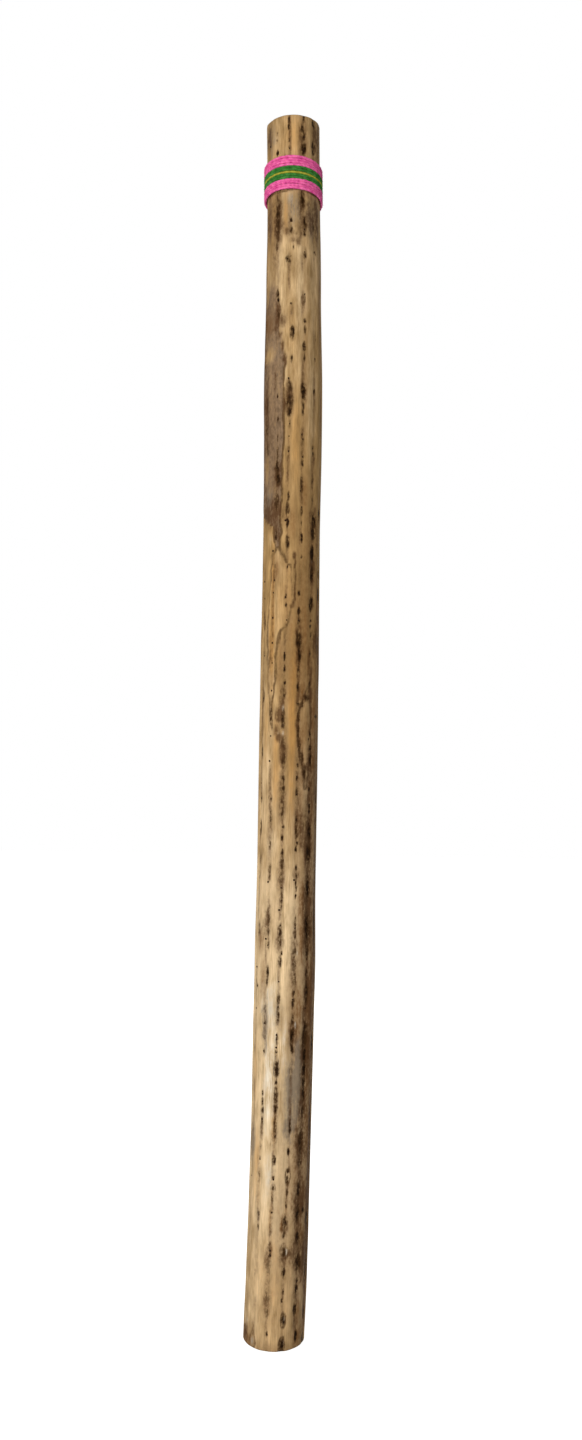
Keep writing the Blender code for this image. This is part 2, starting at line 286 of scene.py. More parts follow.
# Dark spine scars along the rows: angle, height, length, width, darkness
SCARS = (
    (-64, 991, 9, 4, 0.5), (-63, 978, 5, 4.5, 0.55), (-61, 765, 18, 4, 0.5), (-62, 746, 13, 6, 0.55),
    (-60, 728, 11, 5, 0.55), (-61, 586, 14, 3.2, 0.5), (-61, 561, 8, 3, 0.45), (-61, 526, 13, 3.6, 0.6),
    (-63, 481, 14, 4, 0.7), (-63, 444, 10, 3, 0.6), (-64, 420, 14, 4, 0.6), (-63, 396, 12, 3.4, 0.6),
    (-64, 380, 12, 4, 0.5), (-60, 338, 14, 4.5, 0.6), (-60, 291, 5, 3, 0.55), (-39, 986, 6, 2.4, 0.4),
    (-39, 980, 5, 2.6, 0.5), (-39, 970, 5, 3.2, 0.95), (-37, 918, 38, 5.2, 0.75), (-37, 911, 18, 5, 0.6),
    (-39, 895, 18, 3.4, 0.45), (-35, 854, 8, 3.2, 0.95), (-34, 850, 5, 3, 0.95), (-33, 838, 9, 3.6, 0.75),
    (-32, 771, 4, 2.4, 0.7), (-31, 752, 5, 2.4, 0.75), (-31, 738, 10, 2, 0.7), (-31, 724, 16, 2.6, 0.7),
    (-32, 713, 18, 4.4, 0.75), (-30, 703, 12, 5.4, 0.8), (-32, 685, 16, 5, 0.7), (-33, 657, 10, 3, 0.7),
    (-34, 634, 8, 2.6, 0.45), (-35, 621, 5, 2.4, 0.55), (-38, 512, 20, 2.6, 0.7), (-35, 504, 10, 2.4, 0.6),
    (-33, 444, 6, 2.2, 0.6), (-33, 430, 18, 3.4, 0.55), (-35, 408, 10, 3.4, 0.5), (-34, 386, 13, 3.4, 0.65),
    (-33, 348, 18, 3.4, 0.65), (-33, 337, 10, 3, 0.6), (-33, 326, 8, 3.2, 0.7), (-33, 303, 13, 3.8, 0.85),
    (-34, 296, 9, 3, 0.8), (-37, 274, 10, 4, 0.4), (-36, 262, 6, 4, 0.5), (-36, 252, 10, 4, 0.4),
    (-37, 240, 5, 2.6, 0.6), (-37, 206, 5, 2.6, 0.8), (-37, 199, 8, 3, 0.8), (-36, 192, 8, 3.6, 0.7),
    (-37, 184, 5, 3.2, 0.75), (-38, 161, 10, 2.6, 0.5), (-39, 153, 4, 2.4, 0.6), (-39, 138, 12, 3.8, 0.45),
    (-37, 109, 8, 4, 0.5), (-37, 98, 6, 2.6, 0.75), (-39, 60, 10, 2.6, 0.35), (-11, 996, 6, 1.8, 0.8),
    (-11, 990, 6, 2.6, 0.95), (-11, 979, 5, 2.2, 0.6), (-11, 973, 4, 2, 0.7), (-6, 914, 4, 2.6, 1),
    (-6, 906, 9, 3, 0.6), (-1, 892, 6, 1.8, 0.6), (-14, 882, 5, 3.8, 1), (-9, 884.5, 3, 4, 0.55),
    (-9, 879.5, 3.4, 4, 0.75), (-5, 845, 4, 2.6, 0.6), (-3, 822, 14, 4.6, 0.9), (-3.5, 801, 10, 2.4, 0.7),
    (-7, 777, 14, 5.6, 0.68), (-7, 765, 16, 6.4, 0.7), (-8, 757, 9, 4, 0.8), (-6, 747, 8, 2, 0.6),
    (-7, 731, 12, 1.8, 0.45), (-7, 689, 8, 2.6, 0.9), (-9, 680, 13, 4.6, 0.75), (-8.5, 668, 10, 2.6, 1),
    (-8, 652, 13, 4.4, 0.75), (-8, 632, 4, 2, 0.8), (-10, 608, 5, 2, 0.75), (-9, 601, 4, 2, 0.75),
    (-10, 559, 9, 2.4, 0.8), (-10, 549, 7, 2.4, 0.75), (-9, 538, 6, 2.4, 0.85), (-10, 530, 8, 4, 0.6),
    (-11, 508, 20, 4, 0.7), (-9, 488, 14, 4.4, 0.5), (-9, 476, 14, 4.4, 0.6), (-9, 461, 9, 4, 0.6),
    (-9, 452, 11, 4.2, 0.65), (-10, 441, 12, 3.6, 0.55), (-9, 432, 10, 3, 0.6), (-8, 422, 4, 2.6, 0.8),
    (-9, 413, 5, 2.6, 0.8), (-8, 401, 8, 2.6, 0.8), (-9, 393, 16, 4.2, 0.6), (-9, 381, 12, 4, 0.55),
    (-8, 364, 24, 3.4, 0.5), (-9, 336, 18, 4.2, 0.6), (-9, 328, 8, 3.6, 0.55), (-5, 320, 3, 2.2, 0.95),
    (-8, 313, 10, 4, 0.7), (-9, 283, 13, 4, 0.65), (-9, 270, 16, 4, 0.6), (-10, 250, 12, 3.2, 0.65),
    (-10, 240, 8, 2.8, 0.65), (-9, 227, 18, 5.4, 0.8), (-9, 216, 4, 2.6, 1), (-9, 205, 17, 4, 0.7),
    (-9, 195, 12, 3.8, 0.65), (-9, 181, 16, 3.8, 0.6), (-8, 173, 4, 2.2, 0.8), (-8, 154, 9, 3.6, 0.78),
    (-8, 139, 3, 2.6, 0.9), (-8, 131, 8, 3, 0.5), (-9, 122, 12, 3, 0.4), (-9, 112, 8, 2.8, 0.4),
    (-10, 95, 9, 3, 0.4), (-11, 84, 14, 3, 0.35), (-9, 77, 4, 2.6, 0.7), (-11, 66, 14, 4, 0.45),
    (-11, 45, 16, 4.4, 0.4), (-10, 30, 12, 3.4, 0.5), (-9, 14, 6, 2, 0.7), (21, 997, 6, 3, 0.8),
    (18, 988, 7, 3.2, 0.95), (22, 982, 6, 3, 0.85), (21, 972, 11, 5.2, 1), (19, 931, 16, 4.4, 0.8),
    (24, 912, 12, 3.2, 0.75), (24, 903, 5, 2.6, 1), (25, 886, 12, 3, 0.65), (23.5, 850, 10, 2, 0.6),
    (23.5, 832, 5, 3, 1), (24, 825, 9, 2.4, 0.85), (22, 811, 8, 3.4, 1), (22.5, 802, 8, 2.4, 0.7),
    (20, 776, 12, 5, 0.95), (21, 771, 8, 4.4, 0.9), (20, 762, 18, 2.2, 0.75), (19, 739, 4, 2, 0.8),
    (21, 735, 4, 2, 0.8), (21, 722, 3, 2, 0.8), (20, 716, 6, 2.8, 1), (19, 700, 20, 2.8, 0.75),
    (20, 677, 10, 2.4, 0.7), (20, 667, 8, 2, 0.6), (21, 656, 9, 2.2, 0.85), (21, 640, 4, 2, 0.85),
    (17, 611, 6, 2.6, 1), (17, 596, 7, 3, 1), (17, 588, 6, 2.8, 0.9), (17.5, 572, 18, 4.6, 1),
    (19, 560, 14, 3.2, 0.9), (18, 548, 12, 2.4, 0.85), (17, 535, 9, 2.8, 0.85), (18, 521, 5, 2.6, 0.9),
    (19, 472, 4, 2, 0.8), (18, 462, 6, 2.4, 0.8), (18, 449, 9, 2.6, 0.95), (18, 428, 9, 2.6, 0.85),
    (19, 418, 14, 2.8, 0.7), (21, 409, 4, 2.6, 1), (18, 404, 6, 2.6, 0.9), (20, 389, 5, 2.6, 0.85),
    (21, 382, 8, 3, 0.6), (20, 376, 4, 2, 0.9), (21, 372, 4, 2, 0.9), (20, 366, 5, 2.2, 0.8),
    (20, 345, 12, 2.6, 0.7), (20, 335, 8, 2.6, 0.7), (19, 320, 10, 4.4, 0.75), (19, 310, 10, 3.4, 0.75),
    (20, 299, 12, 3, 0.8), (20, 288, 4, 2.4, 0.95), (19, 280, 9, 2.6, 0.95), (19, 266, 12, 2.8, 0.8),
    (19, 254, 14, 3.6, 1), (19, 244, 10, 3, 1), (20, 180, 14, 2.4, 0.85), (18, 160, 7, 2.6, 0.95),
    (19, 145, 4, 2.6, 0.8), (18, 138, 7, 2.8, 0.85), (19, 128, 10, 2.6, 0.6), (18, 118, 10, 2.2, 0.6),
    (17, 104, 10, 3.8, 1), (16, 94, 8, 3, 0.6), (17, 80, 9, 4.6, 0.62), (18, 64, 10, 3, 1),
    (19, 48, 5, 2.4, 0.8), (17, 41, 4, 2.4, 0.8), (21, 25, 10, 3.6, 0.95), (20, 5, 12, 4, 1),
    (48, 996, 8, 4.4, 1.05), (47, 977, 7, 4.6, 1.15), (47, 972, 5, 3.6, 1.1), (49, 911, 9, 3, 0.6),
    (51, 890, 4, 3, 0.7), (50, 820, 10, 3, 0.45), (49, 802, 5, 2.2, 0.55), (47, 776, 4, 2.6, 1),
    (45, 730, 5, 2.6, 0.8), (45, 725, 5, 2.4, 0.7), (45, 703, 16, 2.6, 0.55), (46, 687, 10, 3, 0.6),
    (49, 670, 12, 5.6, 0.95), (48, 660, 12, 5, 1), (46, 644, 14, 5, 1), (46, 627, 14, 4, 0.95),
    (45, 603, 13, 4.6, 1), (45, 589, 4, 2.6, 0.95), (44, 584, 4, 2.6, 0.95), (45, 577, 5, 2.4, 0.8),
    (44, 562, 5, 2.8, 0.8), (44, 537, 8, 3, 0.7), (48, 497, 4, 2.6, 0.95), (44, 492, 3, 2.6, 0.8),
    (48, 485, 6, 3, 0.9), (49, 476, 12, 3.6, 0.9), (48, 452, 5, 3, 0.95), (49, 439, 4, 3, 1),
    (49, 434, 4, 3, 0.9), (49, 418, 20, 4.4, 0.85), (47, 400, 18, 6, 0.95), (48, 372, 26, 4.4, 0.9),
    (48, 340, 30, 6.2, 0.9), (48, 319, 14, 4, 0.9), (48, 302, 12, 3, 0.7), (48, 286, 22, 4, 0.9),
    (46, 252, 26, 6, 0.9), (47, 238, 16, 4.6, 0.95), (47, 226, 18, 4.4, 1), (47, 214, 14, 3.8, 0.95),
    (47, 206, 15, 3.2, 0.95), (47, 191, 11, 3.4, 0.95), (44, 168, 26, 7, 0.7), (44, 150, 8, 5, 0.8),
    (44, 129, 14, 4.4, 0.9), (43, 109, 16, 5, 0.85), (58, 111, 6, 4, 0.8), (45, 90, 10, 4.6, 0.95),
    (48, 70, 16, 7, 0.8), (48, 55, 4, 3, 0.9), (47, 48, 8, 3.4, 0.95), (45, 32, 10, 4.2, 1),
    (50, 10, 11, 4, 0.95), (72, 677, 12, 5, 0.85), (74, 628, 8, 4, 0.95), (74, 611, 14, 5, 1),
    (70, 591, 8, 4, 0.8), (70, 568, 18, 5, 0.7), (65, 511.5, 3.5, 5, 1), (74, 444, 20, 4, 0.8),
    (74, 424, 14, 4, 0.8), (74, 345, 40, 5, 0.6), (74, 242, 26, 6, 0.9), (36, 526, 6, 8, 0.6),
    (27, 521, 7, 5, 0.6), (20, 512, 13, 3.4, 0.65), (19, 498, 15, 3, 0.65), (22, 487, 13, 3, 0.65),
    (27, 477, 12, 4, 0.65), (33, 466, 13, 4, 0.65), (74, 180, 30, 5, 0.7), (74, 102, 12, 5, 0.9),
    (75, 60, 30, 5, 0.7), (74, 24, 14, 4, 0.8), (75, 5, 10, 5, 0.9),
)
# Brown stains, and painted shade on the right side, which turns away from the light, in the broad marks near
# 62 degrees and the long ones near 76: angle, height, length, width, strength
STAINS_AND_SHADE = (
    (18, 979, 44, 8, 0.6), (50, 984, 40, 7, 0.7), (66, 980, 50, 8, 0.6), (-37, 917, 50, 8, 0.95),
    (17, 927, 34, 7, 0.72), (22, 912, 26, 9, 0.6), (12, 908, 18, 6, 0.5), (34, 918, 44, 9, 0.5),
    (54, 916, 50, 12, 0.65), (-25, 909, 14, 7, 0.55), (-14, 905, 13, 6, 0.55), (-9, 912, 8, 4, 0.4),
    (-4, 904, 10, 5, 0.45), (-3, 898, 7, 6, 0.45), (2, 911, 7, 4, 0.35), (6, 903, 7, 5, 0.42),
    (10, 897, 11, 6, 0.5), (15, 904, 14, 5, 0.5), (8, 909, 6, 7, 0.4), (40, 920, 46, 20, 0.55),
    (-66, 984, 30, 9, 0.6), (-64, 915, 50, 12, 0.5), (-45, 880, 44, 7, 0.42), (-33, 838, 24, 5, 0.9),
    (-26, 833, 16, 9, 0.6), (-63, 758, 80, 7, 0.72), (-38, 826, 5, 9, 0.5), (-28, 821, 7, 5, 0.6),
    (-22, 812, 11, 3.4, 0.65), (-17, 801, 13, 3.4, 0.65), (-32, 705, 36, 7, 0.7), (-34, 679, 24, 10, 0.9),
    (-55, 675, 18, 14, 0.85), (-45, 675, 28, 26, 0.6), (-30, 660, 16, 5, 0.7), (-9, 768, 32, 8, 0.75),
    (21, 774, 22, 7, 0.55), (20, 698, 24, 4, 0.5), (45, 715, 60, 6, 0.4), (48, 668, 36, 9, 0.7),
    (47, 630, 40, 7, 0.7), (46, 602, 20, 6, 0.6), (62, 660, 60, 10, 0.4), (-38, 590, 100, 3.4, 0.5),
    (-42, 560, 70, 3, 0.45), (18, 570, 50, 6, 0.7), (18, 530, 50, 4, 0.6), (58, 572, 30, 9, 0.6),
    (-14, 523, 16, 5, 0.65), (-12, 531, 12, 5, 0.6), (-20, 512, 16, 8, 0.65), (-24, 500, 12, 7, 0.55),
    (-17, 494, 10, 7, 0.6), (-9, 480, 30, 6.5, 0.75), (-10, 445, 50, 6.5, 0.7), (44, 530, 18, 6, 0.7),
    (47, 478, 30, 7, 0.65), (62, 455, 40, 10, 0.5), (28, 420, 40, 8, 0.65), (44, 410, 60, 9, 0.85),
    (47, 350, 80, 9, 0.85), (19, 420, 40, 4, 0.5), (-34, 415, 46, 5.5, 0.5), (-60, 395, 26, 6, 0.4),
    (-34, 384, 24, 4.5, 0.5), (-35, 345, 40, 7, 0.65), (-44, 340, 24, 6, 0.4), (-58, 338, 26, 10, 0.4),
    (-9, 383, 38, 6.5, 0.65), (-9, 360, 50, 4.5, 0.5), (-10, 330, 30, 6.5, 0.65), (21, 383, 18, 6, 0.5),
    (20, 340, 30, 4.5, 0.5), (18, 318, 60, 6.5, 0.6), (19, 470, 60, 4, 0.5), (20, 440, 60, 5, 0.5),
    (48, 380, 260, 7, 0.75), (47, 140, 240, 7, 0.55), (-40, 120, 200, 6, 0.32), (20, 295, 40, 4.5, 0.6),
    (20, 256, 36, 6, 0.7), (48, 290, 50, 6.5, 0.8), (48, 240, 60, 9, 0.85), (46, 195, 50, 8, 0.7),
    (44, 164, 44, 11, 0.85), (45, 118, 44, 11, 0.8), (44, 88, 20, 10, 0.7), (56, 76, 40, 20, 0.75),
    (28, 78, 14, 8, 0.55), (45, 45, 40, 6, 0.6), (46, 22, 16, 6, 0.5), (-9, 200, 40, 5, 0.6),
    (-9, 172, 34, 5, 0.6), (-9, 120, 40, 4, 0.5), (-10, 120, 140, 8, 0.28), (-37, 264, 54, 6.5, 0.34),
    (-9, 272, 42, 7, 0.4), (62, 270, 160, 14, 0.4), (-4, 840, 13, 4.4, 0.5), (-38, 140, 20, 5, 0.4),
    (-38, 105, 16, 4.4, 0.4), (-9, 100, 44, 4, 0.45), (-13, 74, 28, 8, 0.5), (-11, 60, 40, 5, 0.45),
    (-12, 42, 36, 7, 0.55), (-11, 22, 24, 3.4, 0.4), (-38, 35, 22, 6, 0.35), (18, 100, 24, 6, 0.6),
    (17, 76, 20, 7, 0.65), (19, 62, 18, 4.5, 0.6), (21, 25, 13, 4.4, 0.5), (20, 5, 15, 5, 0.6),
    (-66, 8, 24, 10, 0.6), (-55, 40, 20, 8, 0.3), (5.5, 641, 7, 2.8, 0.9), (7.5, 632, 14, 1.8, 0.9),
    (8.5, 621, 20, 1.6, 0.9), (8, 610, 14, 1.8, 0.9), (6, 603, 6, 2.4, 0.75), (2.5, 600, 5, 3, 0.7),
    (4.5, 622, 34, 3, 0.2), (-5, 928, 18, 7, 0.35), (36, 527, 8, 9, 0.6), (24, 520, 9, 5, 0.6),
    (18, 505, 18, 4, 0.6), (21, 490, 14, 4, 0.6), (26, 477, 14, 5, 0.6), (33, 464, 14, 6, 0.6),
    # Painted shade in part: the long marks near 76 degrees darken the right edge
    (44, 470, 12, 9, 0.7), (50, 482, 20, 5, 0.6), (76, 120, 250, 9, 0.9), (76, 370, 260, 7, 0.8),
    (76, 560, 120, 6, 0.6), (-78, 800, 260, 8, 0.6), (43, 268, 34, 4.6, 0.55), (41, 556, 30, 4, 0.4),
)
# Wood darkened over a broad area, partly by weathering and partly as painted shade on the side away from the
# key lamp and round the foot: angle, height, length, width, strength
DARKENED_AND_SHADED = (
    (35, 640, 120, 22, 0.5), (50, 120, 190, 24, 0.7), (-62, 918, 60, 16, 0.6), (40, 150, 230, 28, 0.65),
    (46, 330, 380, 26, 0.55), (24, 455, 250, 17, 0.55), (28, 580, 200, 24, 0.6), (-21, 350, 90, 12, 0.3),
    (25, 800, 220, 7, 0.35), (36, 400, 260, 12, 0.5), (8, 110, 220, 16, 0.4), (60, 250, 340, 24, 0.95),
    (60, 480, 220, 20, 0.75), (-36, 385, 260, 24, 0.25), (2, 560, 150, 16, 0.45), (34, 350, 130, 12, 0.75),
    (-18, 550, 60, 8, 0.5), (35, 500, 44, 14, 0.6), (-62, 832, 22, 16, 0.9), (-46, 838, 16, 5, 0.3),
    (-40, 846, 34, 8, 0.2), (66, 90, 200, 20, 0.6), (29, 215, 64, 12, 0.4), (-55, 915, 70, 26, 0.5),
    (-55, 750, 120, 20, 0.2), (25, 268, 110, 18, 0.75), (10, 258, 90, 7, 0.45), (-55, 2, 40, 22, 0.8),
    (0, 0, 20, 54, 0.45), (56, 8, 46, 18, 0.75), (50, 28, 28, 10, 0.85), (57, 90, 28, 12, 0.95),
    (-42, 298, 50, 10, 0.6), (-52, 328, 26, 12, 0.65), (-30, 630, 26, 7, 0.75), (66, 840, 110, 8, 0.55),
    (66, 595, 80, 8, 0.8), (3, 668, 44, 10, 0.5), (26, 692, 40, 8, 0.6), (27, 492, 44, 7, 0.75),
    (27, 530, 26, 8, 0.85), (40, 558, 50, 7, 0.85), (11, 102, 22, 6, 0.7),
)
# Weathered silvery wood, and small pale spots on the scars that are painted highlights, glints of light on
# their shine: angle, height, length, width, strength
BLEACHED_AND_HIGHLIGHTS = (
    (-24, 275, 70, 16, 0.55), (-42, 276, 44, 10, 0.42), (-23, 220, 120, 15, 0.58), (3, 250, 70, 7, 0.45),
    (-19, 145, 90, 13, 0.42), (-6, 930, 15, 7, 0.55), (-46, 653, 24, 8, 0.3), (-38, 812, 26, 12, 0.26),
    (-3, 838, 8, 2.4, 0.4), (48, 661.5, 3, 2.4, 1), (46, 637, 3, 2, 0.8), (-11, 504, 4, 2.4, 0.5),
    (-10, 497, 6, 3, 0.5), (-20, 498, 4, 2.4, 0.4), (-12, 518, 9, 3, 0.5), (24, 262, 7, 2, 0.9),
    (24, 320, 7, 1.8, 0.8), (21.5, 80, 6, 2.4, 1), (22, 25, 7, 2.2, 1), (22, 6, 7, 2.2, 1),
    (-39, 6, 9, 4, 0.7), (-58, 20, 6, 3, 0.6), (-66, 470, 60, 5, 0.4), (-66, 360, 80, 5, 0.4),
)
# Wood turned grey, and wood with a golden tone: angle, height, length, width, strength
GREYED = (
    (25, 212, 70, 18, 1), (31, 228, 50, 14, 1), (10, 181, 26, 8, 0.8), (20, 182, 36, 11, 1),
    (20, 206, 96, 20, 0.75), (-24, 278, 44, 9, 0.4), (38, 235, 70, 9, 0.6), (-48, 683, 34, 18, 0.6),
    (-67, 165, 44, 12, 0.95), (-38, 107, 14, 4, 0.7), (-36, 190, 20, 5, 0.7), (-9, 228, 24, 7, 0.8),
    (-9, 275, 26, 5, 0.7), (-35, 260, 52, 10, 0.85), (-4, 268, 40, 9, 0.55), (-62, 915, 60, 16, 0.5),
    (2, 924, 36, 20, 0.66), (45, 918, 50, 24, 0.65), (-37, 917, 50, 8, 0.7), (-60, 985, 40, 20, 0.65),
    (52, 985, 44, 16, 0.3), (-58, 835, 30, 18, 0.4), (-34, 806, 24, 12, 0.4), (-70, 785, 40, 8, 0.5),
)
GOLDEN = (
    (8, 500, 160, 9, 0.9), (6, 740, 110, 11, 0.5), (-24, 470, 90, 9, 0.7), (-39, 572, 100, 7, 1),
    (-38, 618, 70, 4.4, 1), (-48, 150, 70, 12, 0.6), (-60, 225, 70, 8, 0.6), (-17, 920, 34, 5, 0.9),
    (-50, 500, 80, 8, 0.5), (-22, 610, 60, 14, 0.5), (0, 983, 46, 24, 0.7), (36, 498, 60, 14, 0.5),
    (0, 50, 120, 40, 0.55), (-11, 178, 46, 5, 0.8), (-11, 112, 60, 5, 0.6), (17, 112, 60, 6, 0.6),
    (-38, 130, 60, 6, 0.5),
)
# Sound wood that has stayed lighter than the rest: angle, height, length, width, strength
FRESH = (
    (38, 745, 120, 12, 0.35), (-20, 135, 80, 15, 0.3), (5, 120, 80, 12, 0.3), (-28, 55, 90, 18, 0.15),
    (13, 850, 100, 9, 0.2), (6, 335, 70, 12, 0.28), (-50, 460, 100, 16, 0.17), (0, 290, 60, 8, 0.2),
    (0, 922, 40, 24, 0.15), (42, 915, 40, 16, 0.2), (-36, 365, 30, 10, 0.5), (-31, 408, 22, 8, 0.5),
)
# Marks that are ringed by a dark line, and how broad the line is: angle, height, length, width, strength
RINGED = (
    (19, 141, 12, 4.4, 0.8), (-8, 131, 7, 4, 0.5), (21, 25, 11, 4.4, 0.8), (20, 5, 13, 5, 0.8),
    (-39, 5, 14, 6.4, 0.55), (17, 80, 12, 6.4, 0.6),
)
RING_BREADTH = 0.35
# Painted shade under the yarn band: a dark line along its lower edge for the band's shadow on the wood. The
# band hangs lower at the back
BAND_SHADE_HEIGHT, BAND_SHADE_TILT, BAND_SHADE_WOBBLE = 935.6, 3.2, 0.4
BAND_SHADE_BREADTH, BAND_SHADE_STRENGTH = 1.4, 0.9
# Two patches of skin left on the wood, each between a left and a right edge: height, angle
SKIN_LEFT = (
    (
        (645, -31), (652, -36), (664, -38), (669, -54), (671, -68), (676, -80), (684, -88), (696, -84),
        (707, -93), (716, -97), (724, -88), (738, -86), (752, -95), (760, -104), (771, -99), (780, -88),
        (794, -91), (808, -84), (820, -89), (838, -80), (846, -74), (860, -60), (872, -50),
    ),
    (
        (468, -12), (480, -14), (495, -24), (515, -22), (530, -17), (545, -26), (560, -24), (576, -18),
        (594, 0),
    ),
)
SKIN_RIGHT = (
    (
        (645, -26), (655, -23), (680, -22.5), (700, -21), (720, -20), (740, -18.5), (760, -18), (785, -19),
        (791, -18), (797, -15), (803, -17), (810, -22), (822, -27), (838, -27), (846, -31), (872, -44),
    ),
    (
        (468, -6), (480, -4), (515, -3), (545, -4), (560, -3), (578, 1), (594, 9),
    ),
)
SKIN_THICKNESS = (1, 0.4)
# How softly the skin ends on its way up: height, millimetres
SKIN_SOFTNESS = ((460, 4), (600, 4), (650, 1.5), (790, 1.5), (830, 6), (880, 6))
SKIN_EDGE_BREADTH, SKIN_EDGE_DARKNESS = 1.2, 1.4
# Spots where the skin has worn through to the wood: angle, height, length, width, share
WORN_SKIN = (
    (-68, 805, 11, 18, 0.75), (-52, 805, 13, 8, 0.5), (-62, 711, 24, 7, 0.5), (-38, 813, 22, 10, 0.15),
    (-50, 786, 26, 5, 0.3), (-45, 694, 8, 14, 0.3), (-28, 780, 40, 5, 0.25), (-56, 868, 16, 12, 0.5),
)
# The place where the skin has peeled off, between a left and a right edge: height, angle
PEELED_LEFT = (
    (506, -38.5), (518, -41), (532, -44), (545, -47), (579, -49), (603, -48), (620, -45), (642, -40),
    (648, -26),
)
PEELED_RIGHT = (
    (506, -37), (518, -36), (532, -32), (545, -29), (560, -27.5), (572, -24), (580, -19), (583, -12),
    (586, -5), (592, -2), (600, 1), (615, 1.5), (628, 1), (633, -1.5), (636, -9), (640, -16), (645, -22),
    (648, -26),
)
# How broad and how dark its outline is on its way up, with a fainter stretch past an angle on the left
PEELED_EDGE = ((500, 1.6), (580, 2.2), (600, 1.2), (630, 1.2), (640, 2.4))
PEELED_DARKNESS = ((500, 0.7), (590, 0.75), (600, 0.5), (630, 0.5), (636, 0.85))
FAINT_PAST, FAINT_DARKNESS = -38, 0.6
PEELED_SOFTNESS, PEELED_GOLD, PEELED_PALENESS = 1.5, 0.35, 0.2
# A raised wedge, between a left and a right edge: height, angle
WEDGE_LEFT = (
    (452, 36), (466, 29), (478, 24), (490, 20), (500, 17), (515, 20), (524, 26), (530, 34), (536, 42),
)
WEDGE_RIGHT = ((452, 37), (458, 40), (466, 44), (478, 48), (515, 48), (530, 47), (536, 44))
WEDGE_BREADTH, WEDGE_DARKNESS = 1.6, 0.7
# The sides that the photograph doesn't show carry scars of the same kinds, strewn along their rows. Of each
# measure: least, most
BACK_ROWS = range(4, 11)
END_MARGIN = 12
STREWN_LENGTH, STREWN_WIDTH, STREWN_STEP = (4, 26), (2, 5), (6, 30)
STREWN_DARKNESS, STREWN_STAIN, STAIN_SPREAD = (0.5, 1), (0.3, 0.8), 1.5
# A faint brown thread that comes and goes along every row
THREAD_BREADTH, THREAD_STRENGTH, THREAD_CHANGE = 2.2, 0.28, 0.35
# How pale the sound wood is on its way up, and how much that changes from place to place: height, share
PALENESS = (
    (0, 0.45), (60, 0.6), (130, 0.8), (330, 0.78), (430, 0.47), (520, 0.3), (600, 0.12), (720, 0.08),
    (800, 0.3), (860, 0.45), (920, 0.25), (1000, 0.35),
)
PALENESS_CHANGE = 0.15

scar = np.zeros((len(heights), COLUMNS))
stain, bleach, grey, gold, dark, fresh, skin, edge = (np.zeros_like(scar) for _ in range(8))
for layer, marks, crispness, spread in (
    (scar, SCARS, 3, 1),
    (stain, STAINS_AND_SHADE, 2, 1.25),
    (dark, DARKENED_AND_SHADED, 2, 1),
    (bleach, BLEACHED_AND_HIGHLIGHTS, 2, 1),
    (grey, GREYED, 2, 1),
    (gold, GOLDEN, 2, 1),
    (fresh, FRESH, 2, 1),
):
    for angle, height, length, width, strength in marks:
        lay(layer, strength * fading(oval(angle, height, length, spread * width), crispness))
for *mark, strength in RINGED:
    lay(edge, strength * fading((oval(*mark) - 1) / RING_BREADTH))
# Painted shade: a dark line just under the yarn band, laid on the edge layer, stands for the band's shadow on
# the wood
above_band_shade = heights - BAND_SHADE_HEIGHT - BAND_SHADE_TILT * np.cos(np.radians(angles)) + BAND_SHADE_WOBBLE * wobble
lay(edge, BAND_SHADE_STRENGTH * fading(above_band_shade / BAND_SHADE_BREADTH))
softness = between(SKIN_SOFTNESS, heights)
for left, right, thickness in zip(SKIN_LEFT, SKIN_RIGHT, SKIN_THICKNESS):
    depth = torn_patch(left, right)
    lay(skin, thickness * np.clip(0.5 + depth / softness, 0, 1))
    lay(edge, SKIN_EDGE_DARKNESS / softness * thickness * fading(depth / SKIN_EDGE_BREADTH))
for *mark, share in WORN_SKIN:
    skin *= 1 - share * fading(oval(*mark))
depth = torn_patch(PEELED_LEFT, PEELED_RIGHT)
peeled = np.clip(0.5 + depth / PEELED_SOFTNESS, 0, 1)
skin *= 1 - peeled
lay(gold, PEELED_GOLD * peeled)
darkness = np.where(angles < FAINT_PAST, FAINT_DARKNESS, between(PEELED_DARKNESS, heights))
lay(edge, darkness * fading(depth / between(PEELED_EDGE, heights)))
lay(edge, WEDGE_DARKNESS * fading(torn_patch(WEDGE_LEFT, WEDGE_RIGHT) / WEDGE_BREADTH))

strewn = np.random.default_rng(11)
for row in BACK_ROWS:
    height = END_MARGIN
    while height < LENGTH - END_MARGIN:
        length = strewn.uniform(*STREWN_LENGTH)
        width = strewn.uniform(*STREWN_WIDTH)
        distance = oval(FIRST_ROW + row * ROW_STEP, height, length, width)
        lay(scar, strewn.uniform(*STREWN_DARKNESS) * fading(distance, 3))
        lay(stain, strewn.uniform(*STREWN_STAIN) * fading(distance / STAIN_SPREAD, 3))
        height += strewn.uniform(*STREWN_STEP)
beside_row = (angles - FIRST_ROW + ROW_STEP / 2) % ROW_STEP - ROW_STEP / 2
thread = THREAD_STRENGTH + THREAD_CHANGE * patchwork(5, 2 * ROWS, 16)
lay(stain, fading(np.radians(beside_row) * radii / THREAD_BREADTH) * thread)
pale = eased(PALENESS, heights) + fresh + PEELED_PALENESS * peeled + PALENESS_CHANGE * patchwork(6, 12, 70)
pale = np.clip(pale, 0, 1)

from_end = np.minimum(heights, LENGTH - heights)
flute = FLUTE_DEPTH * (1 + np.cos(np.radians(ROWS * (angles - FIRST_ROW)))) / 2
flute = flute * between(FLUTE_FADE, from_end)
lumps = BROAD_LUMP * patchwork(2, 9, 60) + SMALL_LUMP * patchwork(3, 26, 22)
worn = RIM_RADIUS + WORN_RIM * fading((angles - WORN_ANGLE) / WORN_SPREAD) * (heights > LENGTH / 2)
rise = 1 - np.clip(from_end / worn, 0, 1)
rim = worn * (1 - np.sqrt(1 - rise**2))
surface = radii - flute - rim + lumps - SCAR_DEPTH * scar + SKIN_RISE * skin - EDGE_DEPTH * edge


def ring_points(radius, middle, at):
    """Rings of points at some heights, which turn with the rows."""
    turned = np.radians(angles + between(TWIST, at))
    return np.stack(np.broadcast_arrays(middle + radius * np.sin(turned), -radius * np.cos(turned), at), -1)


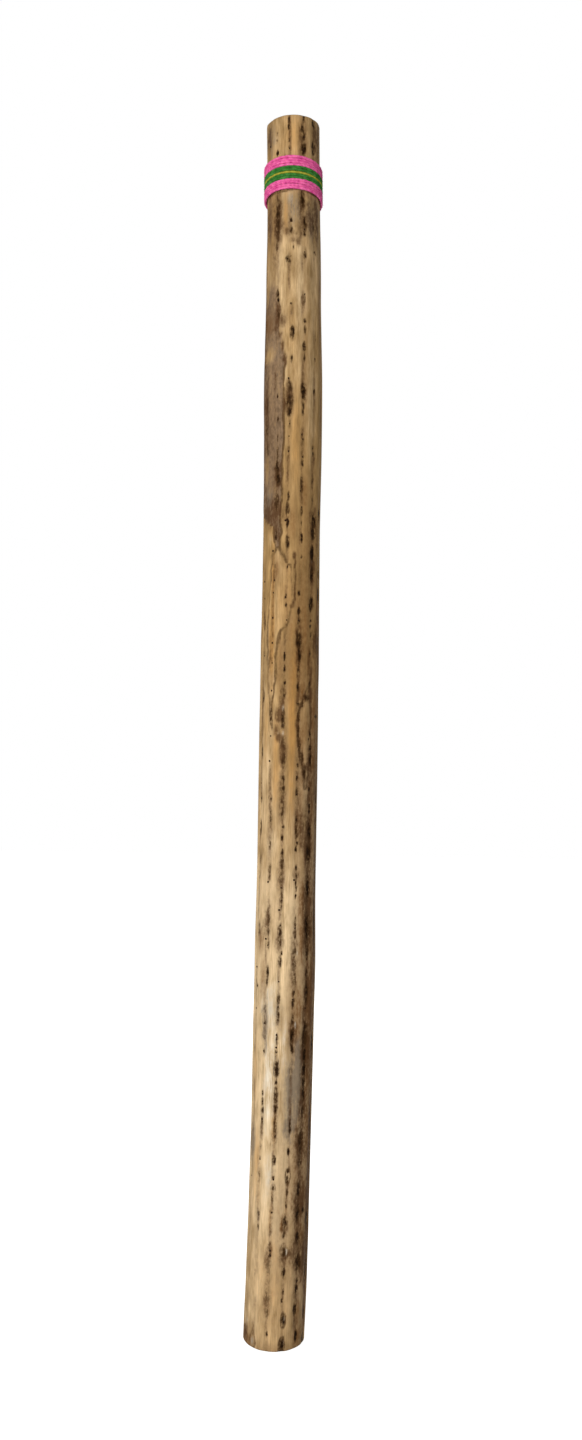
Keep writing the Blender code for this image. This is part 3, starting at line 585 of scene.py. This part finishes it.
outside = ring_points(surface, bow_at(heights), heights)
bore = ring_points(BORE_RADIUS, BORE_X, np.linspace(LENGTH, 0, BORE_RINGS)[:, None])
rings = np.concatenate((outside, bore))
corner = np.arange(len(rings) * COLUMNS).reshape(len(rings), COLUMNS)
above = np.roll(corner, -1, axis=0)
quads = np.stack((corner, np.roll(corner, -1, axis=1), np.roll(above, -1, axis=1), above), -1)
stem_mesh = bpy.data.meshes.new("cactus_stem")
stem_mesh.from_pydata((rings.reshape(-1, 3) * MM).tolist(), [], quads.reshape(-1, 4).tolist())
stem_mesh.shade_smooth()
stem_mesh.set_sharp_from_angle(angle=SHARP_EDGE)
layers = dict(
    pale=pale, gold=gold, dark=dark, bleach=bleach, grey=grey, skin=skin, edge=edge, stain=stain, scar=scar
)
for name, layer in layers.items():
    values = np.zeros((len(rings), COLUMNS))
    values[: len(heights)] = layer
    stem_mesh.attributes.new(name, "FLOAT", "POINT").data.foreach_set("value", values.ravel())

# Cactus wood, sanded and rubbed with a little oil: long fibres with a dull satin shine, dark and peppered
# where the spines grew. The fibres run up the stem. Each pattern: width, length, detail
PATTERNS = ((0.6, 18, 6), (6, 22, 5), (2, 3.4, 5), (2.4, 45, 2))
PATTERN_ROUGHNESS = 0.6
DEEP_WOOD, LIGHT_WOOD, WOOD_CONTRAST = "9A784A", "C29C68", 1.6
# Each layer: its colour, how much fibre, blotch and pepper break it up, where it begins and is full, strength
LAYER_COLOURS = (
    ("pale", "E9CA9D", 0.6, 0.9, 0.2, 0.1, 1.0, 1.0),
    ("gold", "C48E48", 0.6, 1.0, 0.0, 0.1, 1.0, 0.65),
    ("skin", "8A7056", 0.5, 0.8, 0.6, 0.2, 1.0, 0.95),
    ("skin", "64503C", 0.6, 1.4, 1.2, 0.85, 1.5, 0.75),
    # The dark layer is partly painted shade: the side away from the light and the foot
    ("dark", "78522C", 0.8, 0.9, 0.6, 0.0, 1.0, 0.95),
    # The bleach layer also paints the small highlights on the scars
    ("bleach", "E4D9C4", 1.0, 1.2, 0.3, 0.2, 0.8, 0.85),
    ("grey", "807261", 1.0, 1.2, 0.5, 0.2, 0.9, 0.8),
    # The edge colour also paints the shade just under the yarn band
    ("edge", "553D24", 0.8, 0.7, 0.6, 0.2, 0.8, 0.85),
    # The stain layer also holds painted shade on the right side
    ("stain", "563921", 0.8, 1.0, 0.9, 0.08, 0.72, 0.88),
    ("scar", "3E2812", 1.0, 0.6, 1.3, 0.12, 0.75, 0.95),
    ("scar", "180C03", 1.0, 0.6, 1.6, 0.7, 1.05, 0.95),
)
WOOD_RELIEF = 0.15 * MM


def finish_material(add, colour, height, relief, strength, look):
    """Ends a material with a surface that has a colour, a relief of some depth, and a look."""
    bump = add("ShaderNodeBump", {"Height": height, "Strength": strength, "Distance": relief})
    surface = add("ShaderNodeBsdfPrincipled", {"Base Color": colour, "Normal": bump, **look})
    add("ShaderNodeOutputMaterial", {"Surface": surface})


stem_wood, add = new_material("sanded cactus wood")
place = add("ShaderNodeTexCoord").outputs["Object"]
patterns = []
for width, length, detail in PATTERNS:
    scale = Vector((1 / width, 1 / width, 1 / length)) / MM
    stretched = add("ShaderNodeMapping", {"Vector": place, "Scale": scale})
    pattern = add(
        "ShaderNodeTexNoise",
        {"Vector": stretched, "Scale": 1, "Detail": detail, "Roughness": PATTERN_ROUGHNESS},
    )
    patterns.append(add("ShaderNodeMath", {0: pattern, 1: 0.5}, operation="SUBTRACT"))
fibre, blotch, pepper, strand = patterns

tone = add(
    "ShaderNodeMath", {0: blotch, 1: WOOD_CONTRAST, 2: 0.5}, operation="MULTIPLY_ADD", use_clamp=True
)
colour = add("ShaderNodeMix", {0: tone, 6: linear(DEEP_WOOD), 7: linear(LIGHT_WOOD)}, data_type="RGBA")
for name, hex_colour, *weights, begins, full, strength in LAYER_COLOURS:
    breaks = 1
    for pattern, weight in zip((fibre, blotch, pepper), weights):
        breaks = add("ShaderNodeMath", {0: pattern, 1: 2 * weight, 2: breaks}, operation="MULTIPLY_ADD")
    amount = add("ShaderNodeAttribute", attribute_name=name).outputs["Fac"]
    broken = add("ShaderNodeMath", {0: amount, 1: breaks}, operation="MULTIPLY")
    share = add(
        "ShaderNodeMapRange",
        {"Value": broken, "From Min": begins, "From Max": full, "To Max": strength},
        interpolation_type="SMOOTHSTEP",
    )
    colour = add("ShaderNodeMix", {0: share, 6: colour, 7: linear(hex_colour)}, data_type="RGBA")
# Light and dark runs: the pattern, its span, and the shade at both ends of the span
for pattern, low, high, darkest, lightest in (
    (fibre, -0.25, 0.2, 0.7, 1.09),
    (blotch, -0.2, 0.2, 0.84, 1.08),
    (strand, -0.2, 0.2, 0.9, 1.07),
):
    shade = add(
        "ShaderNodeMapRange",
        {"Value": pattern, "From Min": low, "From Max": high, "To Min": darkest, "To Max": lightest},
    )
    colour = add("ShaderNodeMix", {0: 1, 6: colour, 7: shade}, data_type="RGBA", blend_type="MULTIPLY")
relief = add("ShaderNodeMath", {0: fibre, 1: pepper}, operation="ADD")
dullness = add(
    "ShaderNodeMapRange", {"Value": fibre, "From Min": -0.3, "From Max": 0.3, "To Min": 0.7, "To Max": 0.48}
)
look = {"Roughness": dullness, "Specular IOR Level": 0.02}
finish_material(add, colour, relief, WOOD_RELIEF, strength=0.5, look=look)
stem_mesh.materials.append(stem_wood)

stem = put_in_scene("cactus_stem", stem_mesh)
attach(stem, "stick")
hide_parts("cactus_tube")


# End plugs
# Two discs turned from pale wood and glued into the bore, flush with the ends. The CAD discs stay as they
# are. Their flat faces are end grain, with rings round a heart that lies off the middle.
RING_WIDTH = 2.16 * MM
HEART = Vector((-5, 4, 0)) * MM
PORE_SIZE = 0.4 * MM
DIRT_SIZE = 9 * MM
PLUG_RELIEF = 0.15 * MM
DARK_RING, LIGHT_RING, DIRT = "B28A56", "D2B07E", "7A5A3C"

# End grain, sawn and left bare: dull, with wavy rings, fine pores and spots of dirt. A wave texture of scale
# 1 draws its rings pi / 10 apart.
plug_wood, add = new_material("end grain of the plugs")
place = add("ShaderNodeTexCoord").outputs["Object"]
heart = add("ShaderNodeMapping", {"Vector": place, "Location": HEART})
growth = add(
    "ShaderNodeTexWave",
    {"Vector": heart, "Scale": math.pi / 10 / RING_WIDTH, "Distortion": 3, "Detail": 3, "Detail Scale": 1.2},
    wave_type="RINGS",
    rings_direction="Z",
).outputs["Fac"]
pores = add("ShaderNodeTexNoise", {"Vector": place, "Scale": 1 / PORE_SIZE, "Detail": 3})
dirt = add("ShaderNodeTexNoise", {"Vector": place, "Scale": 1 / DIRT_SIZE, "Detail": 4})
colour = add("ShaderNodeMix", {0: growth, 6: linear(DARK_RING), 7: linear(LIGHT_RING)}, data_type="RGBA")
speck = add("ShaderNodeMapRange", {"Value": pores, "From Min": 0.3, "From Max": 0.6, "To Min": 0.7})
colour = add("ShaderNodeMix", {0: 1, 6: colour, 7: speck}, data_type="RGBA", blend_type="MULTIPLY")
soiled = add("ShaderNodeMapRange", {"Value": dirt, "From Min": 0.5, "From Max": 0.75, "To Max": 0.6})
colour = add("ShaderNodeMix", {0: soiled, 6: colour, 7: linear(DIRT)}, data_type="RGBA")
relief = add("ShaderNodeMath", {0: pores, 1: growth}, operation="ADD")
look = {"Roughness": 0.75, "Specular IOR Level": 0.2}
finish_material(add, colour, relief, PLUG_RELIEF, strength=0.5, look=look)
for name in ("lower_plug", "upper_plug"):
    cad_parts[name].material_slots[0].material = plug_wood


# Thorns
# The cactus's own spines, pulled off and driven back in through the wall, where they cross the bore and slow
# the pebbles. Hard dark brown spikes, cut off level with the stem, so their heads show as dots in the rows.
THORN_LENGTH = 14.5
THORN_HEAD_RADIUS = 0.85
THORN_TIP_RADIUS = 0.12
THORN_SIDES = 8
THORN_SEGMENTS = 2
THORN_PROUD = 0.1
# Extra thorns are thinner or thicker: least and most share of those radii
GIRTHS = (0.7, 1.2)
# The outer end of a CAD thorn, and how far it stops short of the dressed wood
CAD_HEAD_DEPTH, CAD_HEAD_SUNK = 0.4, 0.2
# Extra thorns lean so that inside the bore they stand in line with the CAD thorns of their row
CHANNEL_RADIUS = 14.9
# Heads that show in the photograph, by row: heights
HEADS = {
    -2: (978, 608, 586, 561, 526, 457, 443, 291, 272, 136),
    -1: (
        970, 854, 850, 771, 752, 738, 657, 621, 611, 590, 570, 554, 531, 495, 474, 444, 376, 326, 262, 240,
        206, 199, 184, 153,
    ),
    0: (
        990, 973, 914, 845, 785, 747, 737, 726, 691, 671, 665, 632, 608, 601, 588, 562, 549, 538, 422, 413,
        401, 372, 362, 342, 335, 320, 312, 298, 277, 254, 245, 239, 216, 173, 153, 138, 112, 80, 77, 14,
    ),
    1: (
        988, 982, 972, 907, 902, 889, 854, 832, 812, 739, 735, 722, 716, 680, 659, 653, 640, 611, 596, 588,
        535, 521, 472, 462, 449, 428, 409, 404, 389, 376, 372, 366, 340, 288, 283, 278, 163, 158, 145, 104,
        64, 48, 41,
    ),
    2: (
        977, 972, 890, 802, 776, 730, 725, 644, 603, 589, 584, 577, 562, 497, 492, 485, 452, 439, 434, 418,
        286, 275, 222, 206, 191, 129, 90, 55, 48, 32, 10,
    ),
    3: (628, 611, 591, 511, 444, 424, 242, 102, 24),
}
# Heads on the other rows: how many at most, how far from the end, how far apart
BACK_HEADS, FIRST_BACK_HEAD, HEAD_STEP = 70, 12, (5, 26)
# No extra head sits in the plugs or under the yarn
HEAD_MARGIN, YARN_ZONE = 13, (930, 968)
# A head strays from its row, or sits in a scar that is near: degrees, millimetres
HEAD_STRAY, SCAR_NEAR_ANGLE, SCAR_NEAR_HEIGHT = 1, 10, 8
THORN_GRAIN = 0.7 * MM
THORN_RELIEF = 0.1 * MM
THORN_DARK, THORN_LIGHT = "0E0704", "3C2414"

# Thorn bark, as it grew: hard and almost black, a little rough, without shine
thorn_bark, add = new_material("dark cactus thorn")
place = add("ShaderNodeTexCoord").outputs["Object"]
grain = add("ShaderNodeTexNoise", {"Vector": place, "Scale": 1 / THORN_GRAIN, "Detail": 3})
colour = add("ShaderNodeMix", {0: grain, 6: linear(THORN_DARK), 7: linear(THORN_LIGHT)}, data_type="RGBA")
look = {"Roughness": 0.7, "Specular IOR Level": 0.05}
finish_material(add, colour, grain, THORN_RELIEF, strength=0.4, look=look)

# The kind of input that a Geometry Nodes tree needs for a value
SOCKETS = {float: "NodeSocketFloat", int: "NodeSocketInt", bpy.types.Material: "NodeSocketMaterial"}


def shape_tree(name, values):
    """A Geometry Nodes tree with an input for each value, a function that adds a node, and the inputs."""
    tree = bpy.data.node_groups.new(name, "GeometryNodeTree")
    tree.interface.new_socket("Geometry", in_out="OUTPUT", socket_type="NodeSocketGeometry")
    tree.interface.new_socket("Carrier", in_out="INPUT", socket_type="NodeSocketGeometry")
    for label, value in values.items():
        tree.interface.new_socket(label, in_out="INPUT", socket_type=SOCKETS[type(value)])
    return tree, partial(add_node, tree), add_node(tree, "NodeGroupInput").outputs


def shaped_piece(name, carrier_mesh, tree, values):
    """The plain mesh object that a tree makes from a carrier."""
    carrier = put_in_scene(name + "_carrier", carrier_mesh)
    modifier = carrier.modifiers.new("shape", "NODES")
    modifier.node_group = tree
    for socket in tree.interface.items_tree:
        if socket.name in values:
            modifier[socket.identifier] = values[socket.name]
    mesh = bpy.data.meshes.new_from_object(carrier.evaluated_get(bpy.context.evaluated_depsgraph_get()))
    carrier.modifiers.remove(modifier)
    bpy.data.objects.remove(carrier)
    return put_in_scene(name, mesh)


thorn_look = {
    "Length": THORN_LENGTH * MM,
    "Head radius": THORN_HEAD_RADIUS * MM,
    "Tip radius": THORN_TIP_RADIUS * MM,
    "Sides": THORN_SIDES,
    "Bark": thorn_bark,
}
thorn_tree, add, given = shape_tree("thorns through the wall", thorn_look)
spike = add(
    "GeometryNodeMeshCone",
    {
        "Vertices": given["Sides"],
        "Side Segments": THORN_SEGMENTS,
        "Radius Top": given["Tip radius"],
        "Radius Bottom": given["Head radius"],
        "Depth": given["Length"],
    },
)
inward = add("GeometryNodeInputNamedAttribute", {"Name": "inward"}, data_type="FLOAT_VECTOR")
aimed = add("FunctionNodeAlignRotationToVector", {"Vector": inward}, axis="Z")
girth = add("GeometryNodeInputNamedAttribute", {"Name": "girth"})
scale = add("ShaderNodeCombineXYZ", {"X": girth, "Y": girth, "Z": 1})
set_in = add(
    "GeometryNodeInstanceOnPoints",
    {"Points": given["Carrier"], "Instance": spike, "Rotation": aimed, "Scale": scale},
)
loose = add("GeometryNodeRealizeInstances", {"Geometry": set_in})
dressed = add("GeometryNodeSetMaterial", {"Geometry": loose, "Material": given["Bark"]})
add("NodeGroupOutput", {0: dressed})

thorn_names = sorted(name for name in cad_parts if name.startswith("thorn_"))
bore_line = np.array((BORE_X, 0, 0))
head_places, inward_ways, girths, channels = [], [], [], []
for name in thorn_names:
    corners = np.array([vertex.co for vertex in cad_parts[name].data.vertices]) / MM
    reach = np.hypot(corners[:, 0] - BORE_X, corners[:, 1])
    head = corners[reach > reach.max() - CAD_HEAD_DEPTH].mean(axis=0)
    way = corners[reach.argmin()] - head
    way /= np.linalg.norm(way)
    head_places.append(head - (CAD_HEAD_SUNK + THORN_PROUD) * way)
    inward_ways.append(way)
    girths.append(1)
    channels.append(-way[:2])

cut = np.random.default_rng(5)
for row in (*HEADS, *BACK_ROWS):
    row_heads = HEADS.get(row, ())
    if row in BACK_ROWS:
        row_heads = np.cumsum(cut.uniform(*HEAD_STEP, BACK_HEADS)) + FIRST_BACK_HEAD
    for height in row_heads:
        in_plug = not HEAD_MARGIN < height < LENGTH - HEAD_MARGIN
        if in_plug or YARN_ZONE[0] < height < YARN_ZONE[1]:
            continue
        head_angle = FIRST_ROW + row * ROW_STEP + cut.uniform(-HEAD_STRAY, HEAD_STRAY)
        nearest = min((abs(scar[0] - head_angle) + abs(scar[1] - height), scar) for scar in SCARS)[1]
        if abs(nearest[0] - head_angle) < SCAR_NEAR_ANGLE and abs(nearest[1] - height) < SCAR_NEAR_HEIGHT:
            head_angle = nearest[0]
        ring = np.abs(heights[:, 0] - height).argmin()
        column = np.abs((angles[0] - head_angle + 180) % 360 - 180).argmin()
        head = outside[ring, column]
        toward = np.append(CHANNEL_RADIUS * channels[row % ROWS], head[2]) + bore_line
        way = (toward - head) / np.linalg.norm(toward - head)
        head_places.append(head - THORN_PROUD * way)
        inward_ways.append(way)
        girths.append(cut.uniform(*GIRTHS))

carrier_mesh = bpy.data.meshes.new("thorn heads")
carrier_mesh.from_pydata((np.array(head_places) * MM).tolist(), [], [])
inward = carrier_mesh.attributes.new("inward", "FLOAT_VECTOR", "POINT")
inward.data.foreach_set("vector", np.ravel(inward_ways))
girth = carrier_mesh.attributes.new("girth", "FLOAT", "POINT")
girth.data.foreach_set("value", girths)
thorns = shaped_piece("thorns", carrier_mesh, thorn_tree, thorn_look)
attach(thorns, "stick")
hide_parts(*thorn_names)


# Pebbles
# Small river stones, loose inside, one in each channel between two rows of thorns. They lie on the lower plug
# and run down the stick when it is tipped.
PEBBLE_RADIUS = 2.2
PEBBLE_FLATNESS = 0.8
PEBBLE_SUBDIVISIONS = 4
# How deep the dents go, the share of the broad and the fine ones, and how many times finer the fine ones are
PEBBLE_DENT, BROAD_SHARE, FINE_SHARE, FINENESS = 0.16, 0.5, 0.1, 4
# Pebbles have a few broad shapes, and each is turned further than the last: radians about X, Y and Z
SHAPES, SHAPE_STEP = 3, 7
TUMBLE = (0.7, 1.1, 1.9)
STONE_CHANGE = 9 * MM
STONE_GRAIN = 0.5 * MM
STONE_RELIEF = 0.1 * MM
DARK_STONE, LIGHT_STONE = "5E5750", "B5A692"

# River stone, rolled smooth: dull and fine-grained, grey in one pebble and buff in the next
stone, add = new_material("river pebble")
place = add("ShaderNodeTexCoord").outputs["Object"]
kind = add("ShaderNodeTexNoise", {"Vector": place, "Scale": 1 / STONE_CHANGE, "Detail": 1})
grain = add("ShaderNodeTexNoise", {"Vector": place, "Scale": 1 / STONE_GRAIN, "Detail": 4})
contrast = add("ShaderNodeMapRange", {"Value": kind, "From Min": 0.35, "From Max": 0.65})
colour = add(
    "ShaderNodeMix", {0: contrast, 6: linear(DARK_STONE), 7: linear(LIGHT_STONE)}, data_type="RGBA"
)
fleck = add(
    "ShaderNodeMapRange", {"Value": grain, "From Min": 0.3, "From Max": 0.7, "To Min": 0.7, "To Max": 1.15}
)
colour = add("ShaderNodeMix", {0: 1, 6: colour, 7: fleck}, data_type="RGBA", blend_type="MULTIPLY")
finish_material(add, colour, grain, STONE_RELIEF, strength=0.3, look={"Roughness": 0.5})

pebble_names = sorted(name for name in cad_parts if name.startswith("pebble_"))
for number, name in enumerate(pebble_names, 1):
    low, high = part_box(name)
    middle = (Vector(low) + Vector(high)) / 2
    tumbled = Euler([number * turn for turn in TUMBLE]).to_matrix()
    bm = bmesh.new()
    bmesh.ops.create_icosphere(bm, subdivisions=PEBBLE_SUBDIVISIONS, radius=1)
    for vertex in bm.verts:
        broad = 1 + noise.noise(vertex.co + Vector((SHAPE_STEP * (number % SHAPES), 0, 0)))
        fine = 1 + noise.noise(FINENESS * vertex.co + Vector((0, number, 0)))
        vertex.co *= PEBBLE_RADIUS * MM * (1 - PEBBLE_DENT * (BROAD_SHARE * broad + FINE_SHARE * fine))
        vertex.co.z *= PEBBLE_FLATNESS
        vertex.co = middle + tumbled @ vertex.co
    pebble_mesh = bpy.data.meshes.new(name + "_stone")
    bm.to_mesh(pebble_mesh)
    bm.free()
    pebble_mesh.shade_smooth()
    pebble_mesh.materials.append(stone)
    pebble = put_in_scene(name + "_stone", pebble_mesh)
    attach(pebble, name + "_body")
    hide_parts(name)


# Yarn band
# Five lengths of soft wool yarn, wound round the stem by hand near its top, each loop pressed against the
# last. The ends are tucked in at the back. Loose fibres stand off the yarn like down.
YARN_PITCH = 2.08
YARN_THICKNESS = 1.85
YARN_MIDDLE = 1.3
YARN_ROUNDING = 0.8
PLIES = 3
PLY_DEPTH = 0.14
PLY_LENGTH = 5
CORNER_POINTS = 4
SECTION_POINTS = 16
JOIN_GAP = 0.5
BAND_MIDDLE = 949
BAND_TILT = 3.2
BAND_DIAMETER = DIAMETERS[-2][1]
POINTS_PER_LOOP = 96
# How far the loops stray up and down, how often in a loop, and how often that changes
BAND_UNEVENNESS, STRAY_WAVES, STRAY_CHANGE = 0.25, 2.3, 0.9
# Down is drawn about twice as thick as a fibre of real wool, so that it shows
DOWN_LENGTH = 1.1
DOWN_RADIUS = 0.035
DOWN_SIDES = 3
DOWN_PER_MM2 = 1.0
# Down leans along the yarn: how far it also stands up and strays
DOWN_LIFT, DOWN_STRAY = 0.35, Vector((0.8, 0.8, 0.8))
# From the top: node, slot, loops, width
YARNS = (
    ("pink_yarn_upper", "yarn_pink", 4, 2.06),
    ("green_yarn_upper", "yarn_green", 2, 2.2),
    ("yellow_yarn", "yarn_yellow", 1, 1.7),
    ("green_yarn_lower", "yarn_green", 2, 2.2),
    ("pink_yarn_lower", "yarn_pink", 4, 2.06),
)
# Slot: name of the wool, dark and light fibres
WOOLS = {
    "yarn_pink": ("pink wool", "C83880", "FA7CB4"),
    "yarn_green": ("green wool", "1D5219", "498C3E"),
    # The yellow wool's colours are dark and olive, as the yarn looks where it sinks between the green loops:
    # in part painted shade
    "yarn_yellow": ("yellow wool", "868626", "B4AA3E"),
}
# Fibres on the yarn are drawn about seven times as thick as real ones, so that they show
STAPLE_WIDTH, STAPLE_LENGTH = 0.22 * MM, 3 * MM
TWIST_SLOPE = 0.35
DYE_PATCH = 3 * MM
WOOL_RELIEF = 0.2 * MM

# Dyed wool, spun and plied: fine twisted fibres along the yarn, in light and dark patches, with a soft sheen
wools = {}
for slot_name, (wool_name, dark, light) in WOOLS.items():
    wools[slot_name], add = new_material(wool_name)
    place = add("ShaderNodeTexCoord").outputs["Object"]
    across, forward, up = add("ShaderNodeSeparateXYZ", {0: place}).outputs
    nearer = add("ShaderNodeMath", {0: forward, 1: -1}, operation="MULTIPLY")
    angle = add("ShaderNodeMath", {0: across, 1: nearer}, operation="ARCTAN2")
    arc = add("ShaderNodeMath", {0: angle, 1: BAND_DIAMETER / 2 * MM}, operation="MULTIPLY")
    twisted = add("ShaderNodeMath", {0: arc, 1: TWIST_SLOPE, 2: up}, operation="MULTIPLY_ADD")
    unrolled = add("ShaderNodeCombineXYZ", {0: arc, 1: twisted})
    combed = add(
        "ShaderNodeMapping", {"Vector": unrolled, "Scale": (1 / STAPLE_LENGTH, 1 / STAPLE_WIDTH, 1)}
    )
    fine = add("ShaderNodeTexNoise", {"Vector": combed, "Scale": 1, "Detail": 4})
    patch = add("ShaderNodeTexNoise", {"Vector": place, "Scale": 1 / DYE_PATCH, "Detail": 2})
    blend = add("ShaderNodeMath", {0: fine, 1: patch}, operation="ADD")
    share = add("ShaderNodeMapRange", {"Value": blend, "From Min": 0.75, "From Max": 1.25})
    colour = add("ShaderNodeMix", {0: share, 6: linear(dark), 7: linear(light)}, data_type="RGBA")
    look = {
        "Roughness": 0.95,
        "Specular IOR Level": 0.1,
        "Sheen Weight": 0.3,
        "Sheen Roughness": 0.6,
        "Sheen Tint": linear(light),
    }
    finish_material(add, colour, fine, WOOL_RELIEF, strength=0.6, look=look)

# What the tree needs to know of a yarn. Each yarn has its own width, seed and wool.
yarn_look = {
    "Width": YARN_PITCH * MM,
    "Thickness": YARN_THICKNESS * MM,
    "Rounding": YARN_ROUNDING * MM,
    "Ply depth": PLY_DEPTH * MM,
    "Ply length": PLY_LENGTH * MM,
    "Down length": DOWN_LENGTH * MM,
    "Down radius": DOWN_RADIUS * MM,
    "Down density": DOWN_PER_MM2 / MM**2,
    "Seed": 0,
    "Wool": wools["yarn_pink"],
}
yarn_tree, add, given = shape_tree("wound wool yarn", yarn_look)
path = add("GeometryNodeMeshToCurve", {"Mesh": given["Carrier"]})
upright = add("GeometryNodeSetCurveNormal", {"Curve": path}, mode="Z_UP")
length = add("GeometryNodeSplineParameter").outputs["Length"]
measured = add("GeometryNodeStoreNamedAttribute", {"Geometry": upright, "Name": "along", "Value": length})
tangent = add("GeometryNodeInputTangent")
directed = add(
    "GeometryNodeStoreNamedAttribute",
    {"Geometry": measured, "Name": "run", "Value": tangent},
    data_type="FLOAT_VECTOR",
)
section = add(
    "GeometryNodeCurvePrimitiveQuadrilateral", {"Width": given["Thickness"], "Height": given["Width"]}
)
rounded = add(
    "GeometryNodeFilletCurve",
    {"Curve": section, "Count": CORNER_POINTS, "Radius": given["Rounding"]},
    mode="POLY",
)
evened = add("GeometryNodeResampleCurve", {"Curve": rounded, "Count": SECTION_POINTS})
factor = add("GeometryNodeSplineParameter").outputs["Factor"]
marked = add("GeometryNodeStoreNamedAttribute", {"Geometry": evened, "Name": "around", "Value": factor})
swept = add("GeometryNodeCurveToMesh", {"Curve": directed, "Profile Curve": marked, "Fill Caps": True})
along = add("GeometryNodeInputNamedAttribute", {"Name": "along"})
around = add("GeometryNodeInputNamedAttribute", {"Name": "around"})
turns = add("ShaderNodeMath", {0: along, 1: given["Ply length"]}, operation="DIVIDE")
plies = add("ShaderNodeMath", {0: around, 1: PLIES, 2: turns}, operation="MULTIPLY_ADD")
phase = add("ShaderNodeMath", {0: plies, 1: 2 * math.pi}, operation="MULTIPLY")
wave = add("ShaderNodeMath", {0: phase}, operation="COSINE")
depth = add("ShaderNodeMath", {0: wave, 1: given["Ply depth"]}, operation="MULTIPLY")
normal = add("GeometryNodeInputNormal")
offset = add("ShaderNodeVectorMath", {0: normal, "Scale": depth}, operation="SCALE")
plied = add("GeometryNodeSetPosition", {"Geometry": swept, "Offset": offset})
smooth = add("GeometryNodeSetShadeSmooth", {"Geometry": plied})
roots = add(
    "GeometryNodeDistributePointsOnFaces",
    {"Mesh": smooth, "Density": given["Down density"], "Seed": given["Seed"]},
)
hair = add(
    "GeometryNodeMeshCone",
    {
        "Vertices": DOWN_SIDES,
        "Radius Top": 0,
        "Radius Bottom": given["Down radius"],
        "Depth": given["Down length"],
    },
    fill_type="NONE",
)
run = add("GeometryNodeInputNamedAttribute", {"Name": "run"}, data_type="FLOAT_VECTOR")
stray = add(
    "FunctionNodeRandomValue",
    {"Min": -DOWN_STRAY, "Max": DOWN_STRAY, "Seed": given["Seed"]},
    data_type="FLOAT_VECTOR",
)
lifted = add("ShaderNodeVectorMath", {0: roots.outputs["Normal"], "Scale": DOWN_LIFT}, operation="SCALE")
leaning = add("ShaderNodeVectorMath", {0: run, 1: lifted}, operation="ADD")
leaning = add("ShaderNodeVectorMath", {0: leaning, 1: stray}, operation="ADD")
aimed = add("FunctionNodeAlignRotationToVector", {"Vector": leaning}, axis="Z")
down = add("GeometryNodeInstanceOnPoints", {"Points": roots, "Instance": hair, "Rotation": aimed})
woolly = add("GeometryNodeJoinGeometry")
for fibres in (down, smooth):
    yarn_tree.links.new(fibres.outputs[0], woolly.inputs[0])
loose = add("GeometryNodeRealizeInstances", {"Geometry": woolly})
dressed = add("GeometryNodeSetMaterial", {"Geometry": loose, "Material": given["Wool"]})
add("NodeGroupOutput", {0: dressed})


def yarn_point(loops):
    """A point on the middle of the yarn, a number of loops down from the start at the back of the stick."""
    angle = math.pi * (1 + 2 * loops)
    middle_loop = sum(yarn[2] for yarn in YARNS) / 2
    height = BAND_MIDDLE + (middle_loop - loops) * YARN_PITCH + BAND_TILT * math.cos(angle)
    height += BAND_UNEVENNESS * math.sin(STRAY_WAVES * angle) * math.cos(STRAY_CHANGE * angle)
    radius = float(eased(DIAMETERS, height)) / 2 + YARN_MIDDLE
    return bow_at(height) + radius * math.sin(angle), -radius * math.cos(angle), height


half_gap = JOIN_GAP / (math.pi * BAND_DIAMETER) / 2
first_loop = 0
for number, (node_name, slot_name, loops, width) in enumerate(YARNS):
    begin, end = first_loop + half_gap, first_loop + loops - half_gap
    first_loop += loops
    points = [yarn_point(place) for place in np.linspace(begin, end, loops * POINTS_PER_LOOP + 1)]
    edges = [(i, i + 1) for i in range(len(points) - 1)]
    carrier_mesh = bpy.data.meshes.new(node_name + " path")
    carrier_mesh.from_pydata((np.array(points) * MM).tolist(), edges, [])
    own_look = {"Width": width * MM, "Seed": number, "Wool": wools[slot_name]}
    yarn = shaped_piece(node_name + "_wool", carrier_mesh, yarn_tree, {**yarn_look, **own_look})
    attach(yarn, "stick")
    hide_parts(node_name)
